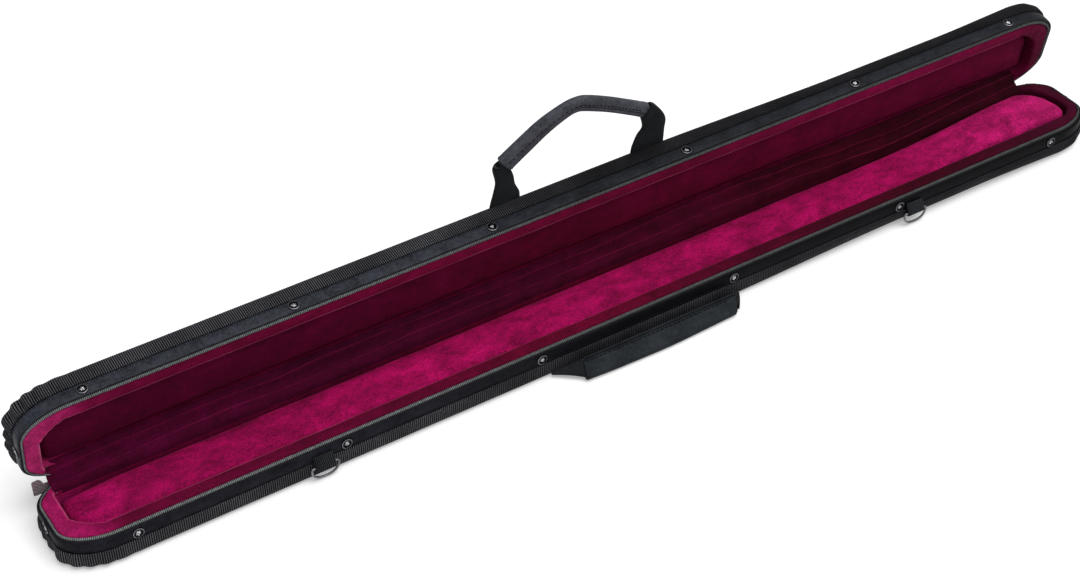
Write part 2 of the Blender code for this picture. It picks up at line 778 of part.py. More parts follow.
def make_base_handle(looks):
    """The base's handle, folded on the table and leaning on the wall, its straps turned in at both ends."""
    front = wall.front - webbing_proud
    place = Vector((0, front - base_handle_axis_gap, base_handle_axis_height))
    axis = turning_axis("base_handle_axis", place)
    across = Vector((0, -math.cos(base_grip_tilt), -math.sin(base_grip_tilt)))
    over = Vector((0, -math.sin(base_grip_tilt), math.cos(base_grip_tilt)))
    left, right = base_grip_ends
    out = front - base_grip_out
    xs = (left, left + grip_end_round, (left + right) / 2, right - grip_end_round, right)
    line = [Vector((x, out, base_grip_height)) for x in xs]
    make_swept("base_handle_grip", grip_stations(line, over, [base_grip_width] * len(xs)), looks["leather"], axis)

    half_thickness = strap_thickness / 2
    inner_edge = out + base_grip_width / 2
    pivot = Vector((left - clearance, inner_edge, 0))
    heights = (strap_root_height, base_grip_height)
    stations = fan(pivot, 180, 270, heights, fan_reach, half_thickness, base_grip_tilt)
    root = stations[0]
    wall_root = Vector((root[0].x, front + base_root_reach, strap_root_height))
    stations.insert(0, (wall_root, root[1], root[2], root[3], half_thickness))
    make_swept("base_handle_strap_left", stations, looks["webbing"], axis)

    half_thickness = under_strap_thickness / 2
    pivot = Vector((under_strap_turn, inner_edge, 0))
    turned = fan(pivot, 270, 180, (under_strap_height, under_strap_height), under_fan_reach, half_thickness)
    flat = Vector((0, -1, 0))
    middle, narrow = turned[0][0].y, turned[0][3]
    wide = base_grip_width / 2 - grip_end_round
    start = Vector((right + clearance, out, base_grip_height))
    under = Vector((right - grip_end_round, middle, under_strap_height))
    stations = [(start, across, over, wide, half_thickness)]
    for degrees in (50, 0, -50):
        angle = math.radians(degrees)
        share = (50 - degrees) / 100 * 0.8 + 0.1
        centre = start.lerp(under, share)
        centre.x = right + clearance + under_strap_bend * math.cos(angle)
        outward = Vector((math.cos(angle), 0, math.sin(angle)))
        leaning = across.lerp(flat, share).normalized()
        outward = (outward - leaning * outward.dot(leaning)).normalized()
        stations.append((centre, leaning, outward, wide + (narrow - wide) * share, half_thickness))
    stations.append((under, flat, Vector((0, 0, -1)), narrow, half_thickness))
    stations += [(centre, spoke, -up, width, thick) for centre, spoke, up, width, thick in turned]
    last = stations[-1]
    wall_root = Vector((last[0].x, front + base_root_reach, under_strap_height))
    stations.append((wall_root, last[1], last[2], last[3], half_thickness))
    make_swept("base_handle_strap_right", stations, looks["webbing"], axis)


def make_d_ring(word, x, looks):
    """A D-ring hanging in a webbing tab on the front wall."""
    front = wall.front - webbing_proud - clearance
    inner_radius = ring_wire_radius + clearance
    outer_radius = inner_radius + tab_cloth
    y = front - outer_radius
    z = ring_floor_gap + ring_depth + ring_wire_radius
    bar = Vector((x, y, z))
    axis = turning_axis(f"d_ring_{word}_axis", bar)
    half_width = ring_inner_width / 2 + ring_wire_radius
    curve = bpy.data.curves.new(f"d_ring_{word}", "CURVE")
    curve.dimensions = "3D"
    curve.bevel_depth = ring_wire_radius
    curve.bevel_resolution = 2
    spline = curve.splines.new("POLY")
    points = [Vector((0, 0, 0)), Vector((half_width, 0, 0))]
    shoulder = ring_depth - half_width / 2
    for step in range(ring_steps + 1):
        angle = math.pi * step / ring_steps
        drop = shoulder + half_width / 2 * math.sin(angle)
        points.append(Vector((half_width * math.cos(angle), 0, -drop)))
    points.append(Vector((-half_width, 0, 0)))
    spline.points.add(len(points) - 1)
    for place, point in zip(spline.points, points):
        place.co = (*point, 1)
    spline.use_cyclic_u = True
    made = bpy.data.objects.new(f"d_ring_{word}", curve)
    link(made, looks["metal"])
    made.parent = axis

    top = z + tab_height
    outer = []
    inner = []
    for step in range(tab_points):
        angle = 2 * math.pi * (step + 0.5) / tab_points
        spoke = (math.cos(angle), math.sin(angle))
        inner.append((y + inner_radius * spoke[0], z + inner_radius * spoke[1]))
        lifted = z + outer_radius * spoke[1]
        across = y + outer_radius * spoke[0]
        if spoke[1] > tab_neck_share:
            lifted = top
            across = y + outer_radius * (1 if spoke[0] > 0 else -tab_neck_front_share)
        outer.append((across, lifted))
    rings = []
    for points, side in ((outer, -1), (outer, 1), (inner, 1), (inner, -1)):
        rings.append([Vector((x + side * tab_width / 2, across, height)) for across, height in points])
    solid_through(f"d_ring_tab_{word}", rings, looks["webbing"], closed=True)


def make_looks():
    """The materials, by what they cover."""
    return {
        "nylon": material("nylon_cover", (0.012, 0.012, 0.014), 0.75),
        "webbing": material("ribbed_webbing", (0.015, 0.015, 0.017), 0.8),
        "band": material("smooth_band", (0.016, 0.017, 0.022), 0.5),
        "tape": material("zip_tape", (0.03, 0.032, 0.034), 0.8),
        "coil": material("zip_coil", (0.05, 0.05, 0.055), 0.4),
        "velvet": material("crimson_velvet", (0.3, 0.0, 0.05), 0.9),
        "board": material("board", (0.35, 0.25, 0.16), 0.85),
        "leather": material("leatherette_grip", (0.03, 0.032, 0.035), 0.55),
        "metal": material("nickel", (0.5, 0.5, 0.52), 0.3, 1.0),
    }


for leftover in list(bpy.data.objects):
    bpy.data.objects.remove(leftover)
case_collection = bpy.data.collections.new("bow_case")
cutter_collection = bpy.data.collections.new("cutters")
bpy.context.scene.collection.children.link(case_collection)
bpy.context.scene.collection.children.link(cutter_collection)

case_looks = make_looks()
lid_axis = turning_axis("lid_hinge_axis", hinge_axis)
base_half = Half("base", -1)
lid_half = Half("lid", 1, lid_axis)
make_half(base_half, case_looks)
make_half(lid_half, case_looks)
make_left_end_tab(case_looks["tape"])
make_zip_tail(case_looks)
make_lid_handle(lid_half, case_looks)
make_base_handle(case_looks)
for ring_word, ring_share in zip(("left", "right"), ring_place_shares):
    make_d_ring(ring_word, ring_share * wall.half, case_looks)
lid_axis.rotation_euler.x = -lid_open_angle
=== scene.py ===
import bisect
import math

import bmesh
import bpy
from mathutils import Matrix, Vector, noise


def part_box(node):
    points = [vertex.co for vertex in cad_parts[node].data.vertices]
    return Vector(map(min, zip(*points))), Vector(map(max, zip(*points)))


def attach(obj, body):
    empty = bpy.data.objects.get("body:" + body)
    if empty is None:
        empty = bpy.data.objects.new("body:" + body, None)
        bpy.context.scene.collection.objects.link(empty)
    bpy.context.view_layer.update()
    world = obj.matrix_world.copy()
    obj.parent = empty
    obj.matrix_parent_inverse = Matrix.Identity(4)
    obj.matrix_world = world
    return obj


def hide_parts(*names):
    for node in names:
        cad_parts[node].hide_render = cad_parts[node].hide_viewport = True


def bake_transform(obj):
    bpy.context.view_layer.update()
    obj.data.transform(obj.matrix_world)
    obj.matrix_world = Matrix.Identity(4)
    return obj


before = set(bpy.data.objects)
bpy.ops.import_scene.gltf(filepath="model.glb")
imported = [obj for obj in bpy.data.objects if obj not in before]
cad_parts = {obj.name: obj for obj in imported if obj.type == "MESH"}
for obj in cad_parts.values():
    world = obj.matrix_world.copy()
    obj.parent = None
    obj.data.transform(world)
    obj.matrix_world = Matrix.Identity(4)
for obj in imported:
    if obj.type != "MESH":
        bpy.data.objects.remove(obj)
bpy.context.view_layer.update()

MM = 0.001

# Sizes of the case. Those that the solids have too are the same there.
case_length = 796.4 * MM
case_width = 64.2 * MM
half_height = 22.0 * MM
lid_open_angle = math.radians(79.5)
front_corner = (34.0 * MM, 22.0 * MM)
back_corner = (33.0 * MM, 20.0 * MM)
clearance = 0.3 * MM
hinge_leaf_gap = 0.15 * MM
band_top = 0.9 * MM
band_bottom = 9.3 * MM
band_thickness = 1.0 * MM
webbing_top = 9.6 * MM
webbing_proud = 0.6 * MM
webbing_edge_radius = 4.0 * MM
edge_growth = 6.0 * MM
edge_growth_run = (40.0 * MM, 220.0 * MM)
webbing_floor_gap = 0.3 * MM
cover_thickness = 0.6 * MM
cover_edge_radius = 3.6 * MM
wall_top = 4.5 * MM
board_wall = 3.2 * MM
board_floor = 2.2 * MM
board_edge_radius = 2.9 * MM
tape_top = 1.5 * MM
tape_thickness = 0.7 * MM
coil_top = 0.15 * MM
coil_height = 2.0 * MM
coil_shares = (0.10, 0.68)
tape_shares = (0.66, 0.98)
lip_back_gap = 0.3 * MM
lip_corner = (31.0 * MM, 18.0 * MM)
ledge_width = 5.7 * MM
end_ledge_width = 3.4 * MM
inner_end_wall = 13.4 * MM
inner_front_wall = 15.0 * MM
inner_back_wall = 7.5 * MM
inner_corner = (16.0 * MM, 13.0 * MM)
inner_back_corner = (5.0 * MM, 5.0 * MM)
inner_roundness = 0.4
flap_reach = (-384.2 * MM, 375.5 * MM)
lining_slope = 0.8 * MM
pad_depth = 5.6 * MM
pad_crown = 0.9 * MM
pad_gap = 0.4 * MM
pad_edge_radius = 2.4 * MM
pad_waist = 0.8 * MM
rivet_place_shares = (0.206, 0.593, 0.9725)
rivet_depth = 5.1 * MM
eyelet_profile_length = 4.72 * MM
hinge_leaf_thickness = 0.9 * MM
hinge_leaf_end_inset = 22.5 * MM
grip_thickness = 4.6 * MM
strap_pitch = 1.3 * MM
lid_handle_depth = 20.3 * MM
base_grip_ends = (-51.5 * MM, 70.0 * MM)
base_grip_width = 14.6 * MM
base_grip_out = 10.3 * MM
base_grip_height = 4.9 * MM
base_grip_tilt = math.radians(17)
ring_places = (-232.987 * MM, 228.288 * MM)
ring_depth = -35.2 * MM
zip_tail_along = Vector((0.8551864, -0.5183208, 0.0))
zip_tail_out = Vector((0.5183208, 0.8551864, 0.0))

# Ribs, turns, stitches and gathers, which only this script models
rib_pitch = 1.4 * MM
rib_height = 0.36 * MM
back_rib_height = 0.2 * MM
strap_rib_height = 0.16 * MM
coil_pitch = 1.2 * MM
pucker_pitch = 10.5 * MM
lid_pucker = 2.0 * MM
base_pucker = 1.0 * MM
band_stitch_pitch = 3.1 * MM
band_stitch = (2.3 * MM, 0.5 * MM, 0.4 * MM)
grip_stitch_pitch = 3.4 * MM
grip_stitch = (2.4 * MM, 0.95 * MM, 0.4 * MM)
pad_swell = 5.4 * MM
pad_dent = 3.2 * MM
lid_crown = 0.9 * MM
flap_thickness = 0.9 * MM
ring_wire_radius = 0.8 * MM
ring_tab_half_width = 6.8 * MM

# Fineness of the meshes
corner_steps = 24
end_steps = 6
long_steps = 150
hinge_steps = 160
flap_steps = 300
rivet_sides = 32
wire_sides = 10
stitch_sides = 6

# How the floor pads are puffed up
puff_reach = 0.9 * MM
puff_mesh_size = 3.0 * MM
puff_frames = 20
puff_settings = {
    "quality": 5, "mass": 0.2, "tension_stiffness": 12, "compression_stiffness": 12, "bending_stiffness": 0.6,
    "use_pressure": True, "uniform_pressure_force": 4.0,
}


class Outline:
    """A rectangle seen from above, with its own front and back. Corners are elliptical, or nearly cut off."""

    def __init__(self, half, front, back, front_radii, back_radii, roundness=1.0, right=None):
        self.half = half
        self.front = front
        self.back = back
        self.front_radii = front_radii
        self.back_radii = back_radii
        self.roundness = roundness
        self.right = right or (0.0, front_radii, back_radii, roundness)

    def inset(self, by):
        """The outline drawn in by one distance all round."""
        def drawn(radii):
            return tuple(max(radius - by, clearance) for radius in radii)

        further, right_front, right_back, right_roundness = self.right
        right = (further, drawn(right_front), drawn(right_back), right_roundness)
        return Outline(
            self.half - by, self.front + by, self.back - by, drawn(self.front_radii), drawn(self.back_radii),
            self.roundness, right,
        )

    def rail(self, ring=False):
        """Points from the hinge's left end round the front to its right end. All outlines match point by point."""
        corners = []
        further, right_front, right_back, right_roundness = self.right
        for side, end, radii, start, roundness in (
            (-1, self.back, self.back_radii, 90, self.roundness),
            (-1, self.front, self.front_radii, 180, self.roundness),
            (1, self.front, right_front, 270, right_roundness),
            (1, self.back, right_back, 360, right_roundness),
        ):
            x_centre = side * (self.half - radii[0]) + (further if side > 0 else 0.0)
            y_centre = end + radii[1] * (1 if end < 0 else -1)
            corner = []
            for step in range(corner_steps + 1):
                angle = math.radians(start + 90 * step / corner_steps)
                across, over = math.cos(angle), math.sin(angle)
                straight = 1 / (abs(across) + abs(over))
                reach = straight + (1 - straight) * roundness
                corner.append((x_centre + radii[0] * across * reach, y_centre + radii[1] * over * reach))
            corners.append(corner)
        found = list(corners[0])
        joins = [(corners[1], end_steps), (corners[2], long_steps), (corners[3], end_steps)]
        if ring:
            joins.append(([corners[0][0]], long_steps))
        for corner, steps in joins:
            start = found[-1]
            for step in range(1, steps):
                found.append(mixed(start, corner[0], step / steps))
            found += corner
        return found[:-1] if ring else found


def wave(distance, pitch):
    """Rises from 0 to 1 and falls back, once in each pitch."""
    return 0.5 - 0.5 * math.cos(2 * math.pi * distance / pitch)


def smooth(value, low, high):
    """A soft step from 0 to 1 between two values."""
    share = min(max((value - low) / (high - low), 0.0), 1.0)
    return share * share * (3 - 2 * share)


def uneven(x, y, z):
    """Smooth noise, from about -1 to 1."""
    return noise.noise(Vector((x, y, z)))


def edge_share(x):
    """How much of the bottom edge's extra roundness there is: none at the left, most of it right of the middle."""
    return smooth(x, *edge_growth_run) * (1 - 0.65 * smooth(x, 300 * MM, 380 * MM))


def widened(half, x, y):
    """The base's opening runs a little nearer the back towards its right end."""
    if half.name == "lid":
        return y
    return y + 2.2 * MM * smooth(x, 240 * MM, 360 * MM) * smooth(y, 2 * MM, 20 * MM)


def evenly(start, stop, steps):
    """Values in even steps from one to another."""
    return [start + (stop - start) * step / steps for step in range(steps + 1)]


def mixed(a, b, share):
    """A point a share of the way from one to another."""
    return tuple(p + (q - p) * share for p, q in zip(a, b))


def between(outer, inner, share):
    """Points a share of the way from one rail to another."""
    return [mixed(a, b, share) for a, b in zip(outer, inner)]


class Track:
    """A rail measured along its length."""

    def __init__(self, points):
        self.points = points
        self.lengths = [0.0]
        for a, b in zip(points, points[1:]):
            self.lengths.append(self.lengths[-1] + math.dist(a, b))
        self.length = self.lengths[-1]

    def index(self, distance):
        """The rail's place, as a whole and a part of a step, at a distance along it."""
        place = bisect.bisect_right(self.lengths, distance) - 1
        place = min(max(place, 0), len(self.lengths) - 2)
        step = self.lengths[place + 1] - self.lengths[place]
        return place + min(max((distance - self.lengths[place]) / step, 0.0), 1.0)

    def outward(self, index):
        """The direction out of the case at a place."""
        a = sample(self.points, index - 0.6)
        b = sample(self.points, index + 0.6)
        return Vector((b[1] - a[1], a[0] - b[0])).normalized()

    def spread(self, pitch, margin=0.0):
        """Even distances along the rail, as far from each of its ends as a margin."""
        reach = self.length - 2 * margin
        return evenly(margin, self.length - margin, round(reach / pitch))


def through(points, steps):
    """A smooth curve through points of any dimension, with a number of steps between each two."""
    found = []
    last = len(points) - 1
    for place in range(last):
        a, b, c, d = (points[min(max(place + shift, 0), last)] for shift in (-1, 0, 1, 2))
        for step in range(steps):
            t = step / steps
            found.append(tuple(
                0.5 * (2 * q + (r - p) * t + (2 * p - 5 * q + 4 * r - s) * t * t + (3 * q - p - 3 * r + s) * t ** 3)
                for p, q, r, s in zip(a, b, c, d)
            ))
    return found + [tuple(points[-1])]


def ahead_at(points, place):
    """The way that a line of points runs at one of them."""
    return points[min(place + 1, len(points) - 1)] - points[max(place - 1, 0)]


def sample(rail, index):
    """A point between two of a rail's points."""
    index = min(max(index, 0.0), len(rail) - 1.0)
    low = min(int(index), len(rail) - 2)
    return mixed(rail[low], rail[low + 1], index - low)


wall = Outline(case_length / 2, -case_width / 2, case_width / 2, front_corner, back_corner)
webbing_front = wall.front - webbing_proud
webbing_outline = Outline(wall.half + webbing_proud, webbing_front, wall.back, front_corner, back_corner)
lips, openings = {}, {}
for word, lip_right, opening_right in (
    ("base", (1.5 * MM, lip_corner, lip_corner, 1.0), (4.6 * MM, (12.0 * MM, 10.0 * MM), (22.0 * MM, 25.0 * MM), 0.9)),
    ("lid", None, None),
):
    lips[word] = Outline(
        wall.half - end_ledge_width, wall.front + ledge_width, wall.back - hinge_leaf_thickness - lip_back_gap,
        lip_corner, lip_corner, right=lip_right,
    )
    openings[word] = Outline(
        wall.half - inner_end_wall, wall.front + inner_front_wall, wall.back - inner_back_wall,
        inner_corner, inner_back_corner, inner_roundness, opening_right,
    )
lining_bottom = half_height - cover_thickness - board_floor - 3 * clearance
wall_track = Track(wall.rail())
hinge_axis = Vector((0.0, case_width / 2 + hinge_leaf_gap, half_height))
lid_turn = (
    Matrix.Translation(hinge_axis) @ Matrix.Rotation(-lid_open_angle, 4, "X") @ Matrix.Translation(-hinge_axis)
)


class Half:
    """One half of the case: its name, and which way its depth runs from the rim."""

    def __init__(self, name, way):
        self.name = name
        self.way = way
        self.turn = lid_turn if name == "lid" else Matrix.Identity(4)

    def at(self, x, y, depth):
        """The place in the open case of a point given by its depth from the rim."""
        return self.turn @ Vector((x, y, half_height + self.way * depth))

    def uneven(self, x, y, z):
        """Smooth noise that isn't the same in the two halves."""
        return uneven(x, y, z + (3.0 if self.way > 0 else 0.0))


base_half = Half("base", -1)
lid_half = Half("lid", 1)


# Materials

class Look:
    """A Principled material and short ways of adding nodes to it."""

    def __init__(self, name, roughness, metallic=0.0, specular=0.5, **uniform):
        self.material = bpy.data.materials.new(name)
        self.material.use_nodes = True
        self.tree = self.material.node_tree
        self.shader = self.tree.nodes["Principled BSDF"]
        self.shader.inputs["Roughness"].default_value = roughness
        self.shader.inputs["Metallic"].default_value = metallic
        self.shader.inputs["Specular IOR Level"].default_value = specular
        for words, value in uniform.items():
            self.shader.inputs[words.replace("_", " ").title()].default_value = value

    def node(self, kind, values=(), **settings):
        """Add a node, with its settings, its plain values and its links."""
        made = self.tree.nodes.new("ShaderNode" + kind)
        for setting, value in settings.items():
            setattr(made, setting, value)
        for key, value in dict(values).items():
            if isinstance(value, bpy.types.NodeSocket):
                self.tree.links.new(value, made.inputs[key])
            else:
                made.inputs[key].default_value = value
        return made

    def place(self, scale=(1, 1, 1), uv=False):
        """The object's own coordinates, in metres, or the distance along and across a strip."""
        if uv:
            source = self.node("UVMap", uv_map="strip").outputs["UV"]
        else:
            source = self.node("TexCoord").outputs["Object"]
        return self.node("Mapping", {"Vector": source, "Scale": scale}).outputs["Vector"]

    def cloud(self, scale, detail=4.0, rough=0.55, stretch=(1, 1, 1), uv=False, distortion=0.0):
        """Soft noise from 0 to 1. Its scale is in patches to the metre."""
        values = {
            "Vector": self.place(stretch, uv), "Scale": scale, "Detail": detail, "Roughness": rough,
            "Distortion": distortion,
        }
        return self.node("TexNoise", values).outputs["Fac"]

    def bands(self, pitch, axis="X", uv=False, profile="SIN", distortion=0.0):
        """Waves of one pitch, in metres. At a scale of 1 the texture's own waves are 0.314159 apart."""
        values = {"Vector": self.place(uv=uv), "Scale": 0.314159 / pitch, "Distortion": distortion}
        return self.node("TexWave", values, bands_direction=axis, wave_profile=profile).outputs["Fac"]

    def sum(self, first, second, operation="ADD"):
        """Two values put together."""
        return self.node("Math", {0: first, 1: second}, operation=operation).outputs["Value"]

    def ramp(self, factor, *stops):
        """Colours along a value."""
        made = self.node("ValToRGB", {"Fac": factor})
        ramp = made.color_ramp
        while len(ramp.elements) < len(stops):
            ramp.elements.new(0.5)
        for element, (position, colour) in zip(ramp.elements, stops):
            element.position = position
            element.color = (*colour, 1.0)
        return made.outputs["Color"]

    def greys(self, factor, *shades):
        """Shades along a value, to make a colour darker or lighter with."""
        return self.ramp(factor, *((place, (share,) * 3) for place, share in shades))

    def remap(self, value, low=0.0, high=1.0, to=(0.0, 1.0)):
        """A value stretched from one range to another."""
        ranges = {"Value": value, "From Min": low, "From Max": high, "To Min": to[0], "To Max": to[1]}
        return self.node("MapRange", ranges).outputs["Result"]

    def along(self, *stops):
        """Colours that change along the case, from its left end to its right."""
        place = self.node("SeparateXYZ", {"Vector": self.place()}).outputs["X"]
        return self.ramp(self.remap(place, -0.4, 0.4), *stops)

    def painted_shade_along(self, colour, *shades):
        """Painted shade along the case: a colour made darker by shares at places from its left end to its right."""
        return self.times(colour, self.along(*((place, (share,) * 3) for place, share in shades)))

    def blend(self, factor, first, second, kind="MIX"):
        """Two colours mixed."""
        made = self.node("Mix", {0: factor}, data_type="RGBA", blend_type=kind)
        for place, value in ((6, first), (7, second)):
            if isinstance(value, bpy.types.NodeSocket):
                self.tree.links.new(value, made.inputs[place])
            else:
                made.inputs[place].default_value = (*value, 1.0)
        return made.outputs[2]

    def times(self, first, second):
        """One colour made darker or lighter by another."""
        return self.blend(1.0, first, second, "MULTIPLY")

    def colour(self, value):
        """Give the shader its colour."""
        self.tree.links.new(value, self.shader.inputs["Base Color"])
        return self

    def rough(self, factor, low, high):
        """Roughness that follows a value."""
        self.tree.links.new(self.remap(factor, to=(low, high)), self.shader.inputs["Roughness"])
        return self

    def bump(self, *layers):
        """Relief, from layers of height, its depth in metres, and strength."""
        normal = None
        for height, depth, strength in layers:
            values = {"Height": height, "Distance": depth, "Strength": strength}
            if normal:
                values["Normal"] = normal
            normal = self.node("Bump", values).outputs["Normal"]
        self.tree.links.new(normal, self.shader.inputs["Normal"])
        return self


def velvet(name, stops, patches, pile, shade, highlit_fold):
    """Crimson velvet: brushed patches in the nap, fine speckle, a pink sheen, painted highlights along folded edges,
    and colour stops along the case that paint light and shade.
    """
    look = Look(name, 0.9, specular=0.1, sheen_weight=shade, sheen_roughness=0.3, sheen_tint=(1.0, 0.32, 0.55, 1.0))
    # Painted light and shade: the stops make the velvet lighter or darker from the case's left end to its right, where
    # the light falls more or less.
    long_run = look.along(*stops)
    brushed = look.cloud(52, 9.0, 0.74, (1.0, 1.5, 1.5), distortion=0.35)
    brushed = look.greys(brushed, (0.36, 1 - patches), (0.5, 0.97), (0.64, 1 + patches))
    nap = look.greys(look.cloud(760, 3.0, 0.75), (0.34, 1 - pile), (0.66, 1 + pile))
    piled = look.times(look.times(long_run, brushed), nap)
    # Painted highlight: the marked points take the pale fold colour along folded and rounded edges.
    edge = look.node("Attribute", attribute_name="highlit_fold").outputs["Fac"]
    look.colour(look.blend(edge, piled, highlit_fold))
    look.bump((look.cloud(95, 5.0, 0.6), 0.0012, 0.5), (look.cloud(2000, 2.0, 0.75), 0.0003, 0.6))
    return look.material


def woven(name, dark, light, pitch, roughness=0.85, uv=False, depth=0.00015):
    """Plain-woven cloth: crossing threads, with uneven colour."""
    look = Look(name, roughness, specular=0.12, sheen_weight=0.05, sheen_roughness=0.5)
    along = look.bands(pitch, "X", uv)
    across = look.bands(pitch, "Y", uv)
    weave = look.sum(along, across, "MULTIPLY")
    if not uv:
        weave = look.sum(along, look.sum(across, look.bands(pitch, "Z"), "MULTIPLY"), "ADD")
        weave = look.sum(weave, 0.5, "MULTIPLY")
    worn = look.cloud(60, 5.0)
    threads = look.blend(weave, dark, light)
    look.colour(look.times(threads, look.greys(worn, (0.3, 0.7), (0.7, 1.35))))
    look.rough(worn, roughness - 0.08, roughness + 0.08)
    look.bump((look.cloud(140, 4.0), 0.0008, 0.35), (weave, depth, 0.9))
    return look.material


def ribbed(name, groove, top, pitch, uneven=0.55, shades=((0.0, 1.0), (1.0, 1.0))):
    """Ribbed webbing: the ribs are modelled, and dark and pale bands at the rib pitch paint shade in the grooves and
    highlights on the tops, uneven in flecks; the shades paint shade along the case.
    """
    look = Look(name, 0.78, specular=0.06, sheen_weight=0.02, sheen_roughness=0.45)
    ribs = look.remap(look.bands(pitch, "X", uv=True), 0.35, 0.95)
    threads = look.bands(0.4 * MM, "Y", uv=True)
    flecks = look.remap(look.cloud(560, 4.0, 0.75, (1.0, 2.2, 1.0), uv=True), 0.36, 0.66)
    shade = look.sum(ribs, look.sum(look.sum(flecks, uneven, "MULTIPLY"), 1.0 - uneven), "MULTIPLY")
    # Painted shade and highlight: the groove colour and the top colour alternate at the rib pitch.
    threads_shade = look.blend(shade, groove, top)
    worn = look.greys(look.cloud(30, 5.0, 0.6), (0.3, 0.55), (0.7, 1.4))
    look.colour(look.painted_shade_along(look.times(threads_shade, worn), *shades))
    look.rough(flecks, 0.65, 0.88)
    look.bump((threads, 0.00014, 0.8), (flecks, 0.0002, 0.6))
    return look.material


def leatherette(name, dark, light, grain=1100, roughness=0.5, uneven=0.4, gloss=0.2, shades=((0.0, 1.0), (1.0, 1.0))):
    """Coated cloth with a fine pebbled grain."""
    look = Look(name, roughness, specular=gloss)
    pebbles = look.node("TexVoronoi", {"Vector": look.place(), "Scale": grain}, feature="SMOOTH_F1").outputs["Distance"]
    cloudy = look.cloud(70, 6.0, 0.6)
    fine = look.cloud(420, 4.0, 0.65)
    mix = look.remap(look.sum(cloudy, fine), 0.72, 1.28)
    # The shades paint shade along the case; with them the bands are darker towards the right end.
    look.colour(look.painted_shade_along(look.blend(mix, dark, light), *shades))
    look.rough(fine, roughness - 0.1, roughness + 0.14)
    look.bump((cloudy, 0.0010, uneven), (fine, 0.0003, 0.5), (pebbles, 0.00018, 0.6))
    return look.material


def coil_teeth(name):
    """The coil's turns: painted highlights on the tops and painted shade in the gaps, in step with the modelled turns,
    and painted shade along the case, darker towards the right end.
    """
    look = Look(name, 0.5, specular=0.3)
    turns = look.remap(look.bands(coil_pitch, "X", uv=True), 0.25, 0.9)
    flecks = look.remap(look.cloud(420, 3.0, 0.7, uv=True), 0.3, 0.62)
    shade = look.sum(turns, look.sum(look.sum(flecks, 0.6, "MULTIPLY"), 0.4), "MULTIPLY")
    turned = look.blend(shade, (0.004, 0.005, 0.006), (0.33, 0.36, 0.36))
    look.colour(look.painted_shade_along(turned, (0.0, 1.0), (0.3, 0.9), (0.5, 0.5), (1.0, 0.4)))
    look.bump((look.cloud(1400, 3.0, 0.6), 0.00008, 0.5))
    return look.material


def eyelet(name):
    """A blackened eyelet: painted highlights on its rim and on the clenched petals, and painted shade in the well."""
    look = Look(name, 0.3, 1.0)
    ring = look.node("SeparateXYZ", {"Vector": look.place(uv=True)}).outputs["X"]
    ring = look.remap(ring, 0.0, eyelet_profile_length)
    # Painted light: the bright rings on the rim and the petals stand in for glints, and the darkest ring in the well
    # for shade.
    shades = (
        (0.0, (0.01, 0.01, 0.011)), (0.14, (0.012, 0.012, 0.014)), (0.19, (0.33, 0.33, 0.36)),
        (0.25, (0.04, 0.04, 0.045)), (0.36, (0.012, 0.012, 0.014)), (0.5, (0.003, 0.003, 0.004)),
        (0.69, (0.006, 0.006, 0.007)), (0.78, (0.40, 0.40, 0.42)), (1.0, (0.62, 0.62, 0.65)),
    )
    tarnish = look.greys(look.cloud(700, 4.0, 0.7), (0.35, 0.45), (0.65, 1.35))
    look.colour(look.times(look.ramp(ring, *shades), tarnish))
    look.rough(look.cloud(900, 4.0, 0.6), 0.22, 0.5)
    look.bump((look.cloud(1800, 3.0, 0.7), 0.00006, 0.5))
    return look.material


def metal(name, dark, light, roughness):
    """Plated metal, a little dull and scratched."""
    look = Look(name, roughness, 1.0)
    tarnish = look.cloud(260, 5.0, 0.6)
    look.colour(look.ramp(tarnish, (0.35, dark), (0.65, light)))
    look.rough(look.cloud(500, 4.0, 0.6), roughness - 0.1, roughness + 0.15)
    look.bump((look.cloud(1800, 3.0, 0.7, (1.0, 1.0, 4.0)), 0.00005, 0.4))
    return look.material


def checked_tape(name):
    """The zip tape's sewn end: grey herringbone with dark checks."""
    look = Look(name, 0.85, sheen_weight=0.2)
    twill = look.sum(look.bands(1.5 * MM, "DIAGONAL"), look.bands(1.1 * MM, "Z"), "MULTIPLY")
    flecks = look.cloud(900, 3.0, 0.7)
    shade = look.ramp(look.sum(twill, flecks, "ADD"), (0.35, (0.02, 0.017, 0.019)), (0.75, (0.24, 0.17, 0.2)))
    look.colour(shade)
    look.bump((twill, 0.0003, 0.8), (flecks, 0.0002, 0.5))
    return look.material


def fibre_board(name):
    """Raw board under the lining."""
    look = Look(name, 0.85)
    look.colour(look.ramp(look.cloud(300, 6.0), (0.35, (0.27, 0.19, 0.12)), (0.65, (0.42, 0.31, 0.2))))
    look.bump((look.cloud(700, 4.0, 0.6, (1.0, 4.0, 4.0)), 0.0002, 0.5))
    return look.material


def thread(name, dark, light):
    """Sewing thread."""
    look = Look(name, 0.8, specular=0.05)
    look.colour(look.ramp(look.cloud(1500, 3.0), (0.35, dark), (0.65, light)))
    look.bump((look.cloud(4000, 2.0), 0.0001, 0.5))
    return look.material
